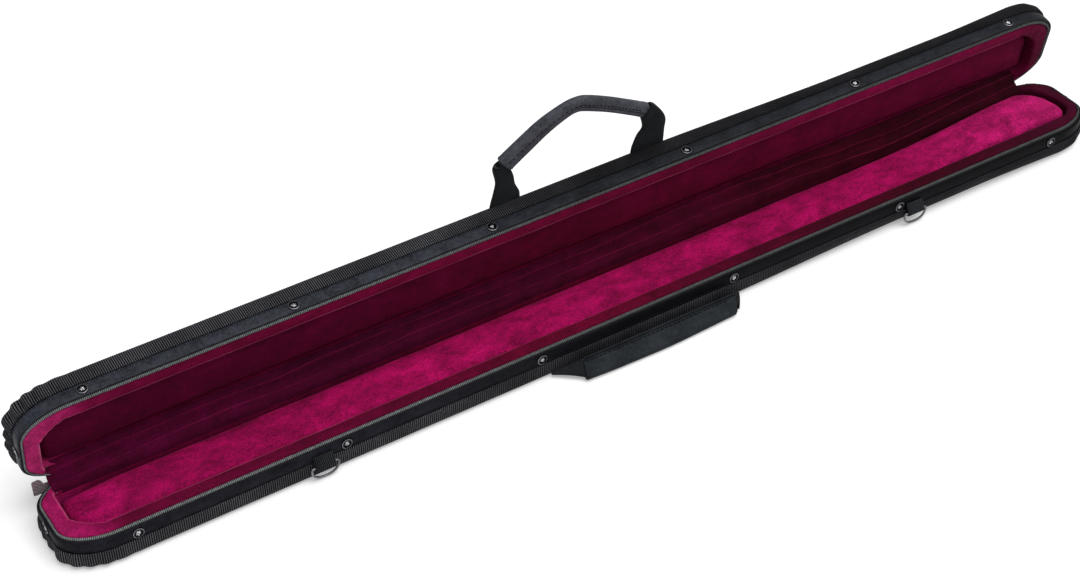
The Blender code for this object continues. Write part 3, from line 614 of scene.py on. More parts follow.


# The velvet, bands and webbing of the two halves, and the flap's velvet, are lighter and darker copies set by how the
# light falls: painted light and shade, as are their colour stops and shades along the case.
looks = {
    "base_velvet": velvet(
        "velvet_base",
        ((0.0, (0.22, 0.0016, 0.055)), (0.045, (0.31, 0.0022, 0.078)), (0.1, (0.235, 0.0012, 0.055)),
         (0.3, (0.315, 0.0018, 0.073)), (0.6, (0.305, 0.0018, 0.071)), (0.8, (0.31, 0.0018, 0.074)),
         (0.9, (0.40, 0.006, 0.108)), (1.0, (0.40, 0.009, 0.115))),
        0.46, 0.42, 0.11, (0.62, 0.08, 0.26),
    ),
    "lid_velvet": velvet(
        "velvet_lid",
        ((0.0, (0.075, 0.0003, 0.020)), (0.25, (0.093, 0.0003, 0.024)), (0.45, (0.09, 0.0003, 0.018)),
         (0.6, (0.105, 0.0003, 0.021)), (1.0, (0.12, 0.0005, 0.028))),
        0.28, 0.28, 0.02, (0.40, 0.05, 0.17),
    ),
    "base_lip": velvet(
        "velvet_base_lip",
        ((0.0, (0.34, 0.010, 0.10)), (0.03, (0.27, 0.004, 0.075)), (0.052, (0.12, 0.0006, 0.027)),
         (0.3, (0.088, 0.0003, 0.018)), (0.45, (0.11, 0.0003, 0.018)), (0.6, (0.068, 0.0003, 0.013)),
         (0.8, (0.041, 0.0002, 0.007)), (1.0, (0.048, 0.0006, 0.013))),
        0.28, 0.32, 0.03, (0.60, 0.09, 0.22),
    ),
    "lid_lip": velvet(
        "velvet_lid_lip",
        ((0.0, (0.44, 0.024, 0.14)), (0.03, (0.38, 0.014, 0.11)), (0.055, (0.19, 0.0016, 0.047)),
         (0.085, (0.13, 0.0005, 0.028)), (0.4, (0.148, 0.0005, 0.029)), (0.6, (0.108, 0.0004, 0.021)),
         (0.78, (0.185, 0.001, 0.041)), (0.93, (0.15, 0.001, 0.034)), (1.0, (0.07, 0.0006, 0.018))),
        0.28, 0.32, 0.03, (0.66, 0.17, 0.33),
    ),
    "flap_velvet": velvet(
        "velvet_flap",
        ((0.0, (0.072, 0.0003, 0.022)), (0.3, (0.052, 0.0003, 0.016)), (0.6, (0.054, 0.0003, 0.012)),
         (0.75, (0.037, 0.0002, 0.006)), (1.0, (0.026, 0.0002, 0.005))),
        0.34, 0.28, 0.02, (0.26, 0.008, 0.075),
    ),
    "nylon": woven("nylon_cover", (0.004, 0.004, 0.005), (0.02, 0.02, 0.022), 0.7 * MM),
    "base_webbing": ribbed(
        "base_ribbed_webbing", (0.001, 0.001, 0.0015), (0.135, 0.137, 0.152), rib_pitch,
        shades=((0.0, 1.0), (0.25, 1.0), (0.38, 0.7), (0.55, 0.62), (0.65, 0.7), (1.0, 0.5)),
    ),
    "lid_webbing": ribbed(
        "lid_ribbed_webbing", (0.001, 0.001, 0.0015), (0.132, 0.134, 0.15), rib_pitch,
        shades=((0.0, 1.0), (0.36, 1.0), (0.5, 0.4), (1.0, 0.32)),
    ),
    "strap": ribbed("strap_webbing", (0.002, 0.002, 0.003), (0.045, 0.05, 0.054), strap_pitch, 0.35),
    "base_band": leatherette(
        "base_smooth_band", (0.003, 0.003, 0.005), (0.015, 0.015, 0.022), gloss=0.045,
        shades=((0.0, 1.0), (0.3, 1.0), (0.48, 0.3), (0.65, 0.3), (1.0, 0.15)),
    ),
    "lid_band": leatherette(
        "lid_smooth_band", (0.006, 0.0065, 0.010), (0.046, 0.05, 0.066), gloss=0.12,
        shades=((0.0, 1.0), (0.35, 1.0), (0.5, 0.4), (1.0, 0.5)),
    ),
    "tape": woven("zip_tape", (0.005, 0.005, 0.006), (0.028, 0.031, 0.031), 0.6 * MM, uv=True),
    "coil": coil_teeth("zip_coil"),
    "hinge": woven("hinge_cloth", (0.004, 0.004, 0.005), (0.016, 0.016, 0.018), 0.6 * MM, uv=True),
    "tab": checked_tape("checked_tape"),
    "lid_grip": leatherette("lid_leatherette", (0.016, 0.018, 0.023), (0.078, 0.083, 0.102), 900, 0.55, 0.6, 0.22),
    "base_grip": leatherette("base_leatherette", (0.006, 0.008, 0.010), (0.024, 0.028, 0.033), 900, 0.6, 0.5, 0.1),
    "thread": thread("thread", (0.004, 0.004, 0.006), (0.03, 0.03, 0.036)),
    "dark_thread": thread("dark_thread", (0.002, 0.002, 0.003), (0.012, 0.012, 0.014)),
    "rivet": eyelet("black_nickel"),
    "gunmetal": metal("gunmetal", (0.05, 0.05, 0.055), (0.16, 0.16, 0.17), 0.34),
    "dull_nickel": metal("dull_nickel", (0.09, 0.09, 0.10), (0.22, 0.22, 0.24), 0.32),
    "board": fibre_board("fibre_board"),
}


# Mesh building

def lengths_along(points):
    """How far along a line each of its points lies."""
    found = [0.0]
    for a, b in zip(points, points[1:]):
        found.append(found[-1] + (b - a).length)
    return found


def added(name, mesh, *materials):
    """Put a finished mesh into the scene as an object of its own."""
    data = bpy.data.meshes.new(name)
    mesh.to_mesh(data)
    mesh.free()
    for material in materials:
        data.materials.append(material)
    made = bpy.data.objects.new(name, data)
    bpy.context.scene.collection.objects.link(made)
    return made


def build(name, rows, look, along=None, ring=False, sharp=50):
    """A closed skin through matching rows of points. Its strip map holds metres along it and across it."""
    mesh = bmesh.new()
    strip = mesh.loops.layers.uv.new("strip")
    grid = [[mesh.verts.new(point) for point in row] for row in rows]
    across = lengths_along([*rows[0], rows[0][0]])
    if along is None:
        along = lengths_along([row[0] for row in rows])
    width, count = len(rows[0]), len(rows)
    for place in range(count if ring else count - 1):
        after = (place + 1) % count
        far = along[place + 1] if place + 1 < len(along) else along[place] + (rows[0][0] - rows[-1][0]).length
        for side in range(width):
            beside = (side + 1) % width
            face = mesh.faces.new((grid[place][side], grid[place][beside], grid[after][beside], grid[after][side]))
            map_places = (
                (along[place], across[side]), (along[place], across[side + 1]),
                (far, across[side + 1]), (far, across[side]),
            )
            for corner, mapped in zip(face.loops, map_places):
                corner[strip].uv = mapped
    if not ring:
        mesh.faces.new(grid[0])
        mesh.faces.new(grid[-1])
    bmesh.ops.recalc_face_normals(mesh, faces=mesh.faces)
    made = added(name, mesh, look)
    made.data.shade_smooth()
    made.data.set_sharp_from_angle(angle=math.radians(sharp))
    return made


def settle(piece, body, slot, *nodes):
    """Say what a piece rides on and which solids it stands for, which are hidden. The slot is not used."""
    if body:
        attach(piece, body)
    if nodes:
        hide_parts(*nodes)
    return piece


def merged(name, parts, look):
    """One object from several meshes."""
    mesh = bmesh.new()
    for part in parts:
        mesh.from_mesh(part.data)
        data = part.data
        bpy.data.objects.remove(part)
        bpy.data.meshes.remove(data)
    return added(name, mesh, look)


def strip_along(name, half, distances, section, look, sharp=50):
    """A strip round the case's wall. Its section gives x, y and depth at each distance."""
    rows = []
    for distance in distances:
        index = wall_track.index(distance)
        rows.append([half.at(*point) for point in section(distance, index)])
    return build(name, rows, look, along=distances, sharp=sharp)


def tray(half, profile, moved=lambda place, *point: point):
    """Rows of points round the case, one for each outline and depth of a section, and moved from there."""
    rows = []
    for place, (outline, depth) in enumerate(profile):
        rows.append([half.at(*moved(place, x, y, depth)) for x, y in outline.rail(ring=True)])
    return rows


def stitches(name, places, look, length, width, height):
    """A row of sewn stitches, from middle, direction and way up of each."""
    mesh = bmesh.new()
    for centre, along, up in places:
        side = along.cross(up).normalized()
        rings = []
        for share, swell in ((-0.5, 0.35), (-0.36, 0.85), (0.0, 1.0), (0.36, 0.85), (0.5, 0.35)):
            middle = centre + along * (length * share)
            ring = []
            for corner in range(stitch_sides):
                angle = 2 * math.pi * corner / stitch_sides
                point = middle + side * (math.cos(angle) * width / 2 * swell)
                ring.append(mesh.verts.new(point + up * (math.sin(angle) * height / 2 * swell)))
            rings.append(ring)
        for ring, following in zip(rings, rings[1:]):
            for corner in range(stitch_sides):
                after = (corner + 1) % stitch_sides
                mesh.faces.new((ring[corner], ring[after], following[after], following[corner]))
        mesh.faces.new(rings[0])
        mesh.faces.new(rings[-1])
    bmesh.ops.recalc_face_normals(mesh, faces=mesh.faces)
    made = added(name, mesh, look)
    made.data.shade_smooth()
    return made


def points_of(mesh):
    """The places of a mesh's points."""
    flat = [0.0] * (3 * len(mesh.vertices))
    mesh.vertices.foreach_get("co", flat)
    return [Vector(flat[start:start + 3]) for start in range(0, len(flat), 3)]


def mark_fold_highlights(piece, marks):
    """Give each of a piece's points how much painted highlight it takes along a folded edge."""
    piece.data.attributes.new("highlit_fold", "FLOAT", "POINT").data.foreach_set("value", marks)


def tapered(rows_for, half, radius):
    """Rows for one radius of the bottom edge and for a larger one, put together by how round the edge is there."""
    pairs = zip(rows_for(half, radius), rows_for(half, radius + edge_growth))
    return [[a.lerp(b, edge_share(a.x)) for a, b in zip(*pair)] for pair in pairs]


def edge_turn(outline, radius, bottom, steps):
    """Outlines and depths round a bottom edge, from the wall to the underside."""
    found = []
    for step in range(steps + 1):
        angle = math.radians(90 * step / steps)
        drawn = outline.inset(radius * (1 - math.cos(angle)))
        found.append((drawn, bottom - radius + radius * math.sin(angle)))
    return found


# Pieces of each half

def cover_rows(half, radius):
    """The cover's rows of points, with one radius along its bottom edge."""
    outer = wall.inset(band_thickness + clearance)
    inner = outer.inset(cover_thickness)
    floor = half_height - cover_thickness
    crown = lid_crown if half.name == "lid" else 0.0
    profile = [
        (outer.inset(drawn * MM), half_height + share * crown) for drawn, share in ((27, 1), (20, 0.8), (12, 0.35))
    ]
    profile += [*reversed(edge_turn(outer, radius, half_height, 7)), (outer, wall_top)]
    profile += [(inner, wall_top), *edge_turn(inner, radius - cover_thickness, floor, 3)]

    def moved(place, x, y, depth):
        if place > 2 or half.name == "base":
            return x, y, depth
        return x, y, depth + 0.35 * MM * uneven(x * 18, y * 30, 5.0)

    return tray(half, profile, moved)


def make_cover(half):
    """The nylon over the underside and walls: drawn flat under the base, a little crowned on the lid."""
    rows = tapered(cover_rows, half, cover_edge_radius)
    cover = build(half.name + "_fabric_cover", rows, looks["nylon"], sharp=60)
    settle(cover, half.name, "nylon_cover", half.name + "_cover")


def board_rows(half, radius):
    """The board tray's rows of points, with one radius along its bottom edge."""
    outer = wall.inset(band_thickness + 2 * clearance + cover_thickness)
    inner = outer.inset(board_wall)
    bottom = half_height - cover_thickness - clearance
    floor = bottom - board_floor
    profile = [(outer.inset(24 * MM), bottom), *reversed(edge_turn(outer, radius, bottom, 4)), (outer, wall_top)]
    profile += [(inner, wall_top), (inner, floor - 0.8 * MM), (inner.inset(0.8 * MM), floor)]
    return tray(half, profile)


def make_board(half):
    """The board tray under the cover and the lining."""
    rows = tapered(board_rows, half, board_edge_radius)
    board = build(half.name + "_board_tray", rows, looks["board"], sharp=40)
    settle(board, half.name, "board", half.name + "_shell")


def webbing_gather(half, distance, x, y):
    """How far the webbing bulges where it is gathered round the corners. It lies flat towards the hinge."""
    left = smooth(-x, wall.half - 52 * MM, wall.half - 14 * MM)
    right = smooth(x, wall.half - 40 * MM, wall.half)
    phase = distance * 2 * math.pi / pucker_pitch + 2.2 * uneven(distance * 45, 1, half.way * 2)
    bulge = (lid_pucker if half.name == "lid" else base_pucker) * left * (abs(math.sin(phase / 2)) * 2 - 0.9)
    bulge += 0.5 * MM * right * math.sin(2 * math.pi * distance / (17 * MM))
    bulge += 0.3 * MM * uneven(distance * 26, 3.1, half.way * 2)
    return bulge * (1 - smooth(y, wall.back * 0.3, wall.back * 0.9))


def webbing_section(x):
    """The webbing's section: distance out, depth, how much it is gathered and how much of the ribs it shows."""
    radius = webbing_edge_radius + edge_growth * edge_share(x)
    lowest = half_height - webbing_floor_gap - radius
    section = [
        (-webbing_proud - 0.2 * MM, webbing_top + 0.1 * MM, 0.0, 0.0), (-0.5 * MM, webbing_top, 0.2, 0.4),
        (-0.05 * MM, webbing_top + 0.5 * MM, 0.5, 1.0), (0.0, (webbing_top + lowest + 0.5 * MM) / 2, 0.9, 1.0),
    ]
    for degrees, share in ((0, 1.0), (15, 0.9), (30, 0.7), (46, 0.45), (62, 0.2)):
        angle = math.radians(degrees)
        section.append((-radius * (1 - math.cos(angle)), lowest + radius * math.sin(angle), share, 1.0))
    section.append((-radius * 0.66, lowest + radius * 0.86, 0.0, 0.0))
    section.append((-webbing_proud - 0.9 * MM, lowest, 0.0, 0.0))
    return section


def make_webbing(half):
    """The ribbed webbing round the wall, each rib modelled, turned in under the bottom edge."""
    rail = webbing_outline.rail()
    track = Track(rail)
    distances = track.spread(rib_pitch / 4)
    rows = []
    for distance in distances:
        index = track.index(distance)
        x, y = sample(rail, index)
        out = track.outward(index)
        rib = wave(distance, rib_pitch)
        gather = webbing_gather(half, distance, x, y)
        row = []
        for offset, depth, gathered, ribs in webbing_section(x):
            away = offset + max(gather, -0.6 * MM) * gathered + rib_height * (rib - 0.5) * ribs
            away -= 0.35 * MM * smooth(y, wall.back * 0.6, wall.back)
            row.append(half.at(x + out.x * away, y + out.y * away, depth))
        rows.append(row)
    look = looks[half.name + "_webbing"]
    piece = build(half.name + "_ribbed_webbing", rows, look, along=distances, sharp=80)
    rows = []
    reach = wall.half - back_corner[0]
    distances = evenly(0.0, 2 * reach, round(2 * reach / (rib_pitch / 4)))
    for distance in distances:
        x = distance - reach
        sunk = back_rib_height * (wave(distance, rib_pitch) - 1)
        rows.append([half.at(x, wall.back + away + sunk * ribs, depth) for away, depth, _, ribs in webbing_section(x)])
    back = build("back_run", rows, look, along=distances, sharp=80)
    piece = merged(half.name + "_ribbed_webbing_all", [piece, back], look)
    settle(piece, half.name, "ribbed_webbing", half.name + "_webbing")


def make_band(half):
    """The smooth band that the rivets go through, hemmed near its lower edge with a row of stitches.

    Its shape is (millimetres out, depth)."""
    rail = wall.rail()
    middle = (band_top + band_bottom) / 2
    shape = (
        (-0.30, band_top), (-0.05, band_top + 0.35 * MM), (0.0, band_top + 0.9 * MM), (0.12, band_top + 2.4 * MM),
        (0.15, middle), (0.1, band_bottom - 2.4 * MM), (-0.12, band_bottom - 1.35 * MM),
        (-0.16, band_bottom - 1.0 * MM), (-0.05, band_bottom - 0.7 * MM), (-0.1, band_bottom - 0.2 * MM),
        (-0.4, band_bottom), (-1.0, band_bottom), (-1.0, band_top),
    )

    def section(distance, index):
        x, y = sample(rail, index)
        out = wall_track.outward(index)
        found = []
        for away, depth in shape:
            wavy = 0.12 * half.uneven(distance * 60, depth * 90, 9.0) if away > -0.9 else 0.0
            found.append((x + out.x * (away + wavy) * MM, y + out.y * (away + wavy) * MM, depth))
        return found

    distances = wall_track.spread(1.4 * MM, 6 * MM)
    piece = strip_along(half.name + "_leatherette_band", half, distances, section, looks[half.name + "_band"], 70)
    settle(piece, half.name, "smooth_band", half.name + "_band")
    places = []
    depth = band_bottom - 1.1 * MM
    for distance in wall_track.spread(band_stitch_pitch, 9 * MM):
        index = wall_track.index(distance)
        x, y = sample(rail, index)
        out = wall_track.outward(index)
        centre = half.at(x - out.x * 0.05 * MM, y - out.y * 0.05 * MM, depth)
        ahead = half.at(x - out.y * MM, y + out.x * MM, depth) - half.at(x, y, depth)
        up = half.at(x + out.x * MM, y + out.y * MM, depth) - half.at(x, y, depth)
        places.append((centre, ahead.normalized(), up.normalized()))
    row = stitches(half.name + "_band_stitches", places, looks["thread"], *band_stitch)
    settle(row, half.name, "smooth_band")


def make_zip(half):
    """The zip tape on the ledge, and the coil along its inner edge with its turns modelled."""
    outer = wall.inset(band_thickness).rail()
    lip = lips[half.name].rail()
    near, far = (between(lip, outer, share) for share in tape_shares)
    margin = 10 * MM

    def tape_section(distance, index):
        a, b = sample(near, index), sample(far, index)
        top = []
        for share, lift in ((0.0, 0.0), (0.2, 0.05), (0.5, 0.25), (0.8, 0.1), (1.0, 0.0)):
            ripple = 0.12 * half.uneven(distance * 70, share, 4.0)
            top.append((*mixed(a, b, share), tape_top - (lift + ripple) * MM))
        return top + [(*b, tape_top + tape_thickness), (*a, tape_top + tape_thickness)]

    distances = wall_track.spread(2.0 * MM, margin)
    tape = strip_along(half.name + "_woven_tape", half, distances, tape_section, looks["tape"])
    settle(tape, half.name, "zip_tape", half.name + "_zip_tape")

    distances = wall_track.spread(coil_pitch / 5, margin)
    middle = (coil_shares[0] + coil_shares[1]) / 2
    reach = (coil_shares[1] - coil_shares[0]) / 2

    def coil_section(distance, index):
        a, b = sample(lip, index), sample(outer, index)
        turn = wave(distance, coil_pitch)
        swell = 0.62 + 0.38 * turn
        found = []
        for corner in range(8):
            angle = math.radians(45 * corner + 22.5)
            share = middle + reach * math.cos(angle) * (0.85 + 0.15 * turn)
            depth = coil_top + coil_height / 2 - coil_height / 2 * math.sin(angle) * swell
            found.append((*mixed(a, b, share), depth))
        return found

    coil = strip_along(half.name + "_coil_turns", half, distances, coil_section, looks["coil"], sharp=80)
    settle(coil, half.name, "zip_coil", half.name + "_zip_coil")


def flap_cover(x, y):
    """How much of the back lip lies under the flap that crosses the hinge."""
    if y < 14 * MM:
        return 0.0
    return smooth(x, flap_reach[0], flap_reach[0] + 0.8 * MM) * smooth(-x, -flap_reach[1], -flap_reach[1] + 0.8 * MM)


def make_lining(half):
    """The velvet over the padded lip and the walls inside, one piece round each half."""
    inner, lip = openings[half.name], lips[half.name]
    outside = wall.inset(band_thickness + 3 * clearance + cover_thickness + board_wall)
    profile = [(outside, lining_bottom), (outside, wall_top - clearance), (lip.inset(0.1 * MM), wall_top - clearance)]
    lip_turn = ((0.0, 2.6), (0.0, 1.4), (0.5, 0.62), (1.7, 0.34))
    profile += [(lip.inset(by * MM) if by else lip, depth * MM) for by, depth in lip_turn]
    highlit_fold = len(profile) + 2
    inner_turn = (
        (-3.2, 0.3), (-1.8, 0.34), (-0.95, 0.5), (-0.45, 0.8), (-0.08, 1.5), (0.12, 2.8), (0.4, 5.4), (0.4, 8.0),
    )
    profile += [(inner.inset(by * MM), depth * MM) for by, depth in inner_turn] + [(inner, lining_bottom)]

    def moved(place, x, y, depth):
        if place >= highlit_fold - 2:
            y = widened(half, x, y)
        if place < 2 or place > highlit_fold + 4:
            return x, y, depth
        sunk = flap_cover(x, y)
        lump = 0.3 * MM * half.uneven(x * 32, y * 60, 7.0)
        gather = 0.0
        if abs(x) > inner.half - 18 * MM:
            gather = 0.2 * MM * math.sin(math.atan2(y, abs(x) - inner.half + 12 * MM) * 16)
        level = max(depth + (lump + gather if place > 2 else 0.0), 0.12 * MM)
        return x, y + 1.0 * MM * sunk * (place >= highlit_fold), level + (5.6 * MM - level) * sunk

    look = looks[half.name + "_lip"]
    rows = tray(half, profile, moved)
    piece = build(half.name + "_velvet_lining", rows, look, ring=True, sharp=80)
    width = len(rows[0])

    # Painted highlight: points along the lip's inner folded edge are marked for the velvet's pale fold colour, fading
    # out at the right end, and in the base weaker towards the right.
    def pale(row, place):
        near = {highlit_fold: 0.5, highlit_fold + 1: 1.0, highlit_fold + 2: 0.5}.get(row, 0.0) * (1 - smooth(place.x, 350 * MM, 372 * MM))
        strength = 0.95 if half.name == "lid" else 0.25 + 0.75 * smooth(-place.x, -100 * MM, 350 * MM)
        return near * (0.65 + 0.45 * uneven(*place * 40)) * strength

    mark_fold_highlights(piece, [pale(index // width, place) for index, place in enumerate(points_of(piece.data))])
    words = ("front", "back", "left", "right")
    settle(piece, half.name, "velvet_lining", *[f"{half.name}_lining_{word}" for word in words])


def pad_rows(half, drawn):
    """The floor pad's rows of points: crowned, its edge rounded and its sides drawn in."""
    side = openings[half.name].inset(lining_slope / 2 + pad_gap + drawn)
    top = pad_depth + drawn
    profile = [(side.inset(pad_waist), lining_bottom), (side.inset(pad_waist / 2), (lining_bottom + top) / 2)]
    for degrees in (0, 22, 45, 68, 90):
        angle = math.radians(degrees)
        turned = side.inset(pad_edge_radius * (1 - math.cos(angle)))
        profile.append((turned, top + pad_edge_radius * (1 - math.sin(angle))))
    profile += [(side.inset(5 * MM), top - 0.35 * pad_crown), (side.inset(9 * MM), top - 0.8 * pad_crown)]
    profile += [(side.inset(15 * MM), top - pad_crown)]
    return tray(half, profile)


def take_modified(piece):
    """Make what a piece's modifiers show its own mesh."""
    mesh = bpy.data.meshes.new_from_object(piece.evaluated_get(bpy.context.evaluated_depsgraph_get()))
    piece.modifiers.clear()
    piece.data = mesh
    return mesh


def puffed(piece):
    """Blow a closed cushion up as cloth, no point further than the room that was left for it."""
    scene = bpy.context.scene
    even = piece.modifiers.new("even", "REMESH")
    even.mode = "VOXEL"
    even.voxel_size = puff_mesh_size
    mesh = take_modified(piece)
    rest = points_of(mesh)
    settings = piece.modifiers.new("puff", "CLOTH").settings
    for name, value in puff_settings.items():
        setattr(settings, name, value)
    settings.effector_weights.gravity = 0.0
    for step in range(1, puff_frames + 1):
        scene.frame_set(step)
    held = piece.evaluated_get(bpy.context.evaluated_depsgraph_get()).data
    moved = points_of(held)
    piece.modifiers.clear()
    scene.frame_set(1)
    places = []
    for before, after in zip(rest, moved):
        shift = after - before
        places.extend(before + shift * min(puff_reach / max(shift.length, 1e-9), 1.0))
    mesh.vertices.foreach_set("co", places)
    mesh.update()


def pad_rise(half, x):
    """How much higher the base's pad is than the rest: it swells at the right end, and is pressed down at the left."""
    if half.name == "lid":
        return 0.0
    return pad_swell * smooth(x, 235 * MM, 375 * MM) - pad_dent * smooth(-x, 342 * MM, 384 * MM)


def make_pad(half):
    """The velvet floor pad, puffed up as cloth until it fills its place."""
    drawn = puff_reach
    look = looks[half.name + "_velvet"]
    piece = build(half.name + "_velvet_pad", pad_rows(half, drawn), look, sharp=180)
    puffed(piece)
    smoother = piece.modifiers.new("fine", "SUBSURF")
    smoother.levels = smoother.render_levels = 1
    take_modified(piece)
    piece.data.materials.clear()
    piece.data.materials.append(look)
    mesh = piece.data
    back = half.turn.inverted()
    side = openings[half.name].inset(lining_slope / 2 + pad_gap)
    places, marks = [], []
    for place in points_of(mesh):
        flat = back @ place
        depth = half.way * (flat.z - half_height)
        spot = Vector((flat.x * 22, flat.y * 45, 5.0 if half.name == "lid" else 2.0))
        lump = 0.35 * MM * uneven(*spot) + 0.14 * MM * uneven(*spot * 3.7)
        lump *= depth < pad_depth + 3 * MM
        raised = min(max((lining_bottom - depth) / (lining_bottom - pad_depth), 0.0), 1.0)
        level = depth + lump - pad_rise(half, flat.x) * raised
        places.extend(half.at(flat.x, widened(half, flat.x, flat.y), level))
        # Painted highlight: points along the pad's rounded edge are marked for the velvet's pale fold colour, stronger
        # towards the right in the base and fading out at the right end in the lid.
        further = side.right[0] if flat.x > 0 else 0.0
        inward = min(side.half + further - abs(flat.x), side.back - flat.y)
        edge = math.exp(-((inward - 1.1 * MM) / (0.55 * MM)) ** 2) * (depth < pad_depth + 2.6 * MM)
        strength = 0.9 * (1 - smooth(flat.x, 350 * MM, 372 * MM))
        if half.name == "base":
            strength = 0.45 + 0.4 * smooth(flat.x, 200 * MM, 360 * MM)
        marks.append(edge * strength * (0.6 + 0.5 * uneven(flat.x * 60, 0, 1)))
    mesh.vertices.foreach_set("co", places)
    mark_fold_highlights(piece, marks)
    mesh.shade_smooth()
    settle(piece, half.name, "velvet_pad", half.name + "_floor_pad")


def make_rivet(name, half, node, x, y, out):
    """An eyelet rivet: a rolled flange, a dark well, and the post's split petals clenched in it."""
    centre = half.at(x, y, rivet_depth)
    axis = (half.at(x + out[0] * MM, y + out[1] * MM, rivet_depth) - centre).normalized()
    side = (half.at(x, y, rivet_depth + MM) - centre).normalized()
    other = axis.cross(side)
    flange = (
        (3.80, 0.10), (3.78, 0.42), (3.55, 0.75), (3.20, 0.92), (2.85, 0.90), (2.58, 0.66), (2.50, 0.30),
        (2.2, 0.14), (1.6, 0.14),
    )
    petals = ((1.45, 0.2), (1.35, 0.55), (0.85, 0.8), (0.35, 0.72))
    rows = []
    for radius, height in flange + petals:
        row = []
        for step in range(rivet_sides):
            angle = 2 * math.pi * step / rivet_sides
            reach = side * math.cos(angle) + other * math.sin(angle)
            widened_by, lift = 1.0, height
            if (radius, height) in petals:
                torn = uneven(*centre * 900 + Vector((math.cos(angle), math.sin(angle), 0)) * 1.3)
                widened_by = 1 + 0.22 * math.cos(5 * angle) + 0.5 * torn
                lift = height * (1 + 0.7 * torn) + 0.1 * math.cos(5 * angle) * (radius > 1)
            row.append(centre + (reach * radius * widened_by + axis * lift) * MM)
        rows.append(row)
    piece = build(name, rows, looks["rivet"], sharp=70)
    return settle(piece, half.name, "rivet_metal", node)


def make_rivets(half):
    """Six rivets on the front wall, and one in the middle of each end."""
    straight = wall.half - front_corner[0]
    shares = sorted(side * share for side in (-1, 1) for share in rivet_place_shares)
    for number, share in enumerate(shares, 1):
        node = f"{half.name}_rivet_front_{number}"
        make_rivet(node + "_eyelet", half, node, share * straight, wall.front, (0, -1))
    middle = (wall.front + front_corner[1] + wall.back - back_corner[1]) / 2
    for side, word in ((-1, "left"), (1, "right")):
        node = f"{half.name}_rivet_{word}_end"
        make_rivet(node + "_eyelet", half, node, side * wall.half, middle, (side, 0))


for case_half in (base_half, lid_half):
    for make in (make_cover, make_board, make_webbing, make_band, make_zip, make_lining, make_pad, make_rivets):
        make(case_half)


# The hinge and the zip's ends

def make_hinge():
    """The cloth hinge, one strip sewn to both halves."""
    reach = wall.half - hinge_leaf_end_inset
    front = wall.back - hinge_leaf_thickness
    section = [base_half.at(0, front, depth * MM) for depth in (9.0, 3.0, 1.0)]
    section.append(Vector((0, hinge_axis.y - 0.95 * MM, half_height + 0.1 * MM)))
    section += [lid_half.at(0, front, depth * MM) for depth in (1.0, 3.0, 9.0)]
    section += [lid_half.at(0, wall.back, depth * MM) for depth in (9.0, 3.0, 0.7)]
    section.append(Vector((0, hinge_axis.y + 0.05 * MM, half_height - 0.15 * MM)))
    section += [base_half.at(0, wall.back, depth * MM) for depth in (0.7, 3.0, 9.0)]
    rows = []
    for x in evenly(-reach, reach, hinge_steps):
        row = []
        for place, point in enumerate(section):
            ripple = 0.12 * MM * uneven(x * 60, place * 0.7, 1.0)
            row.append(Vector((x, point.y, point.z + ripple)))
        rows.append(row)
    piece = build("cloth_hinge", rows, looks["hinge"], sharp=70)
    settle(piece, None, "hinge_cloth", "base_hinge_leaf", "lid_hinge_leaf")
    start, end = (half.at(0, wall.back, 1.6 * MM) for half in (base_half, lid_half))
    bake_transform(piece)


def make_flap():
    """The velvet flap that runs from one floor pad over the hinge to the other, in soft lengthwise folds.

    It is drawn from the base's pad up to the hinge, and then down into the lid."""
    shown = [Vector((0, y * MM, z * MM)) for y, z in (
        (24.5, 15.0), (24.55, 17.0), (24.8, 19.0), (25.7, 20.7), (27.1, 21.7), (28.6, 22.3), (30.2, 23.2),
        (31.2, 24.5), (31.8, 26.0), (32.6, 27.8),
    )]
    for inward, depth in ((6.6, 2.6), (7.3, 4.2), (7.9, 6.0), (8.0, 7.6)):
        shown.append(lid_half.at(0, hinge_axis.y - inward * MM, depth * MM))
    shown = [Vector(point) for point in through(shown, 4)]
    ways = []
    for place in range(len(shown)):
        ahead = ahead_at(shown, place)
        ways.append(Vector((0, -ahead.z, ahead.y)).normalized())
    rows, marks = [], []
    for x in evenly(*flap_reach, flap_steps):
        row = []
        for place, (point, way) in enumerate(zip(shown, ways)):
            share = place / (len(shown) - 1)
            free = math.sqrt(max(math.sin(math.pi * share), 0.0))
            wander = 1.9 * uneven(x * 6, 0.0, 4.0) + 0.7 * uneven(x * 24, share * 3, 1.0)
            ridge = 1 - 2 * abs(math.sin(share * 8.4 + wander)) ** 0.7
            strong = 0.55 + 0.45 * uneven(x * 9, share * 4, 6.0)
            lump = uneven(x * 30, share * 6, 8.0)
            lift = free * (0.8 * ridge * strong + 0.25 * lump)
            row.append(Vector((x, 0, 0)) + point + way * (lift * MM))
            # Painted highlight: the raised ridges are marked for the velvet's pale fold colour.
            marks.append(smooth(ridge, 0.45, 1.0) * strong * free)
        back = [point - way * flap_thickness for point, way in zip(row, ways)]
        marks += [0.0] * len(back)
        rows.append(row + back[::-1])
    piece = build("velvet_hinge_flap", rows, looks["flap_velvet"], sharp=70)
    mark_fold_highlights(piece, marks)
    settle(piece, None, "velvet_lining")
    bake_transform(piece)


# Handles

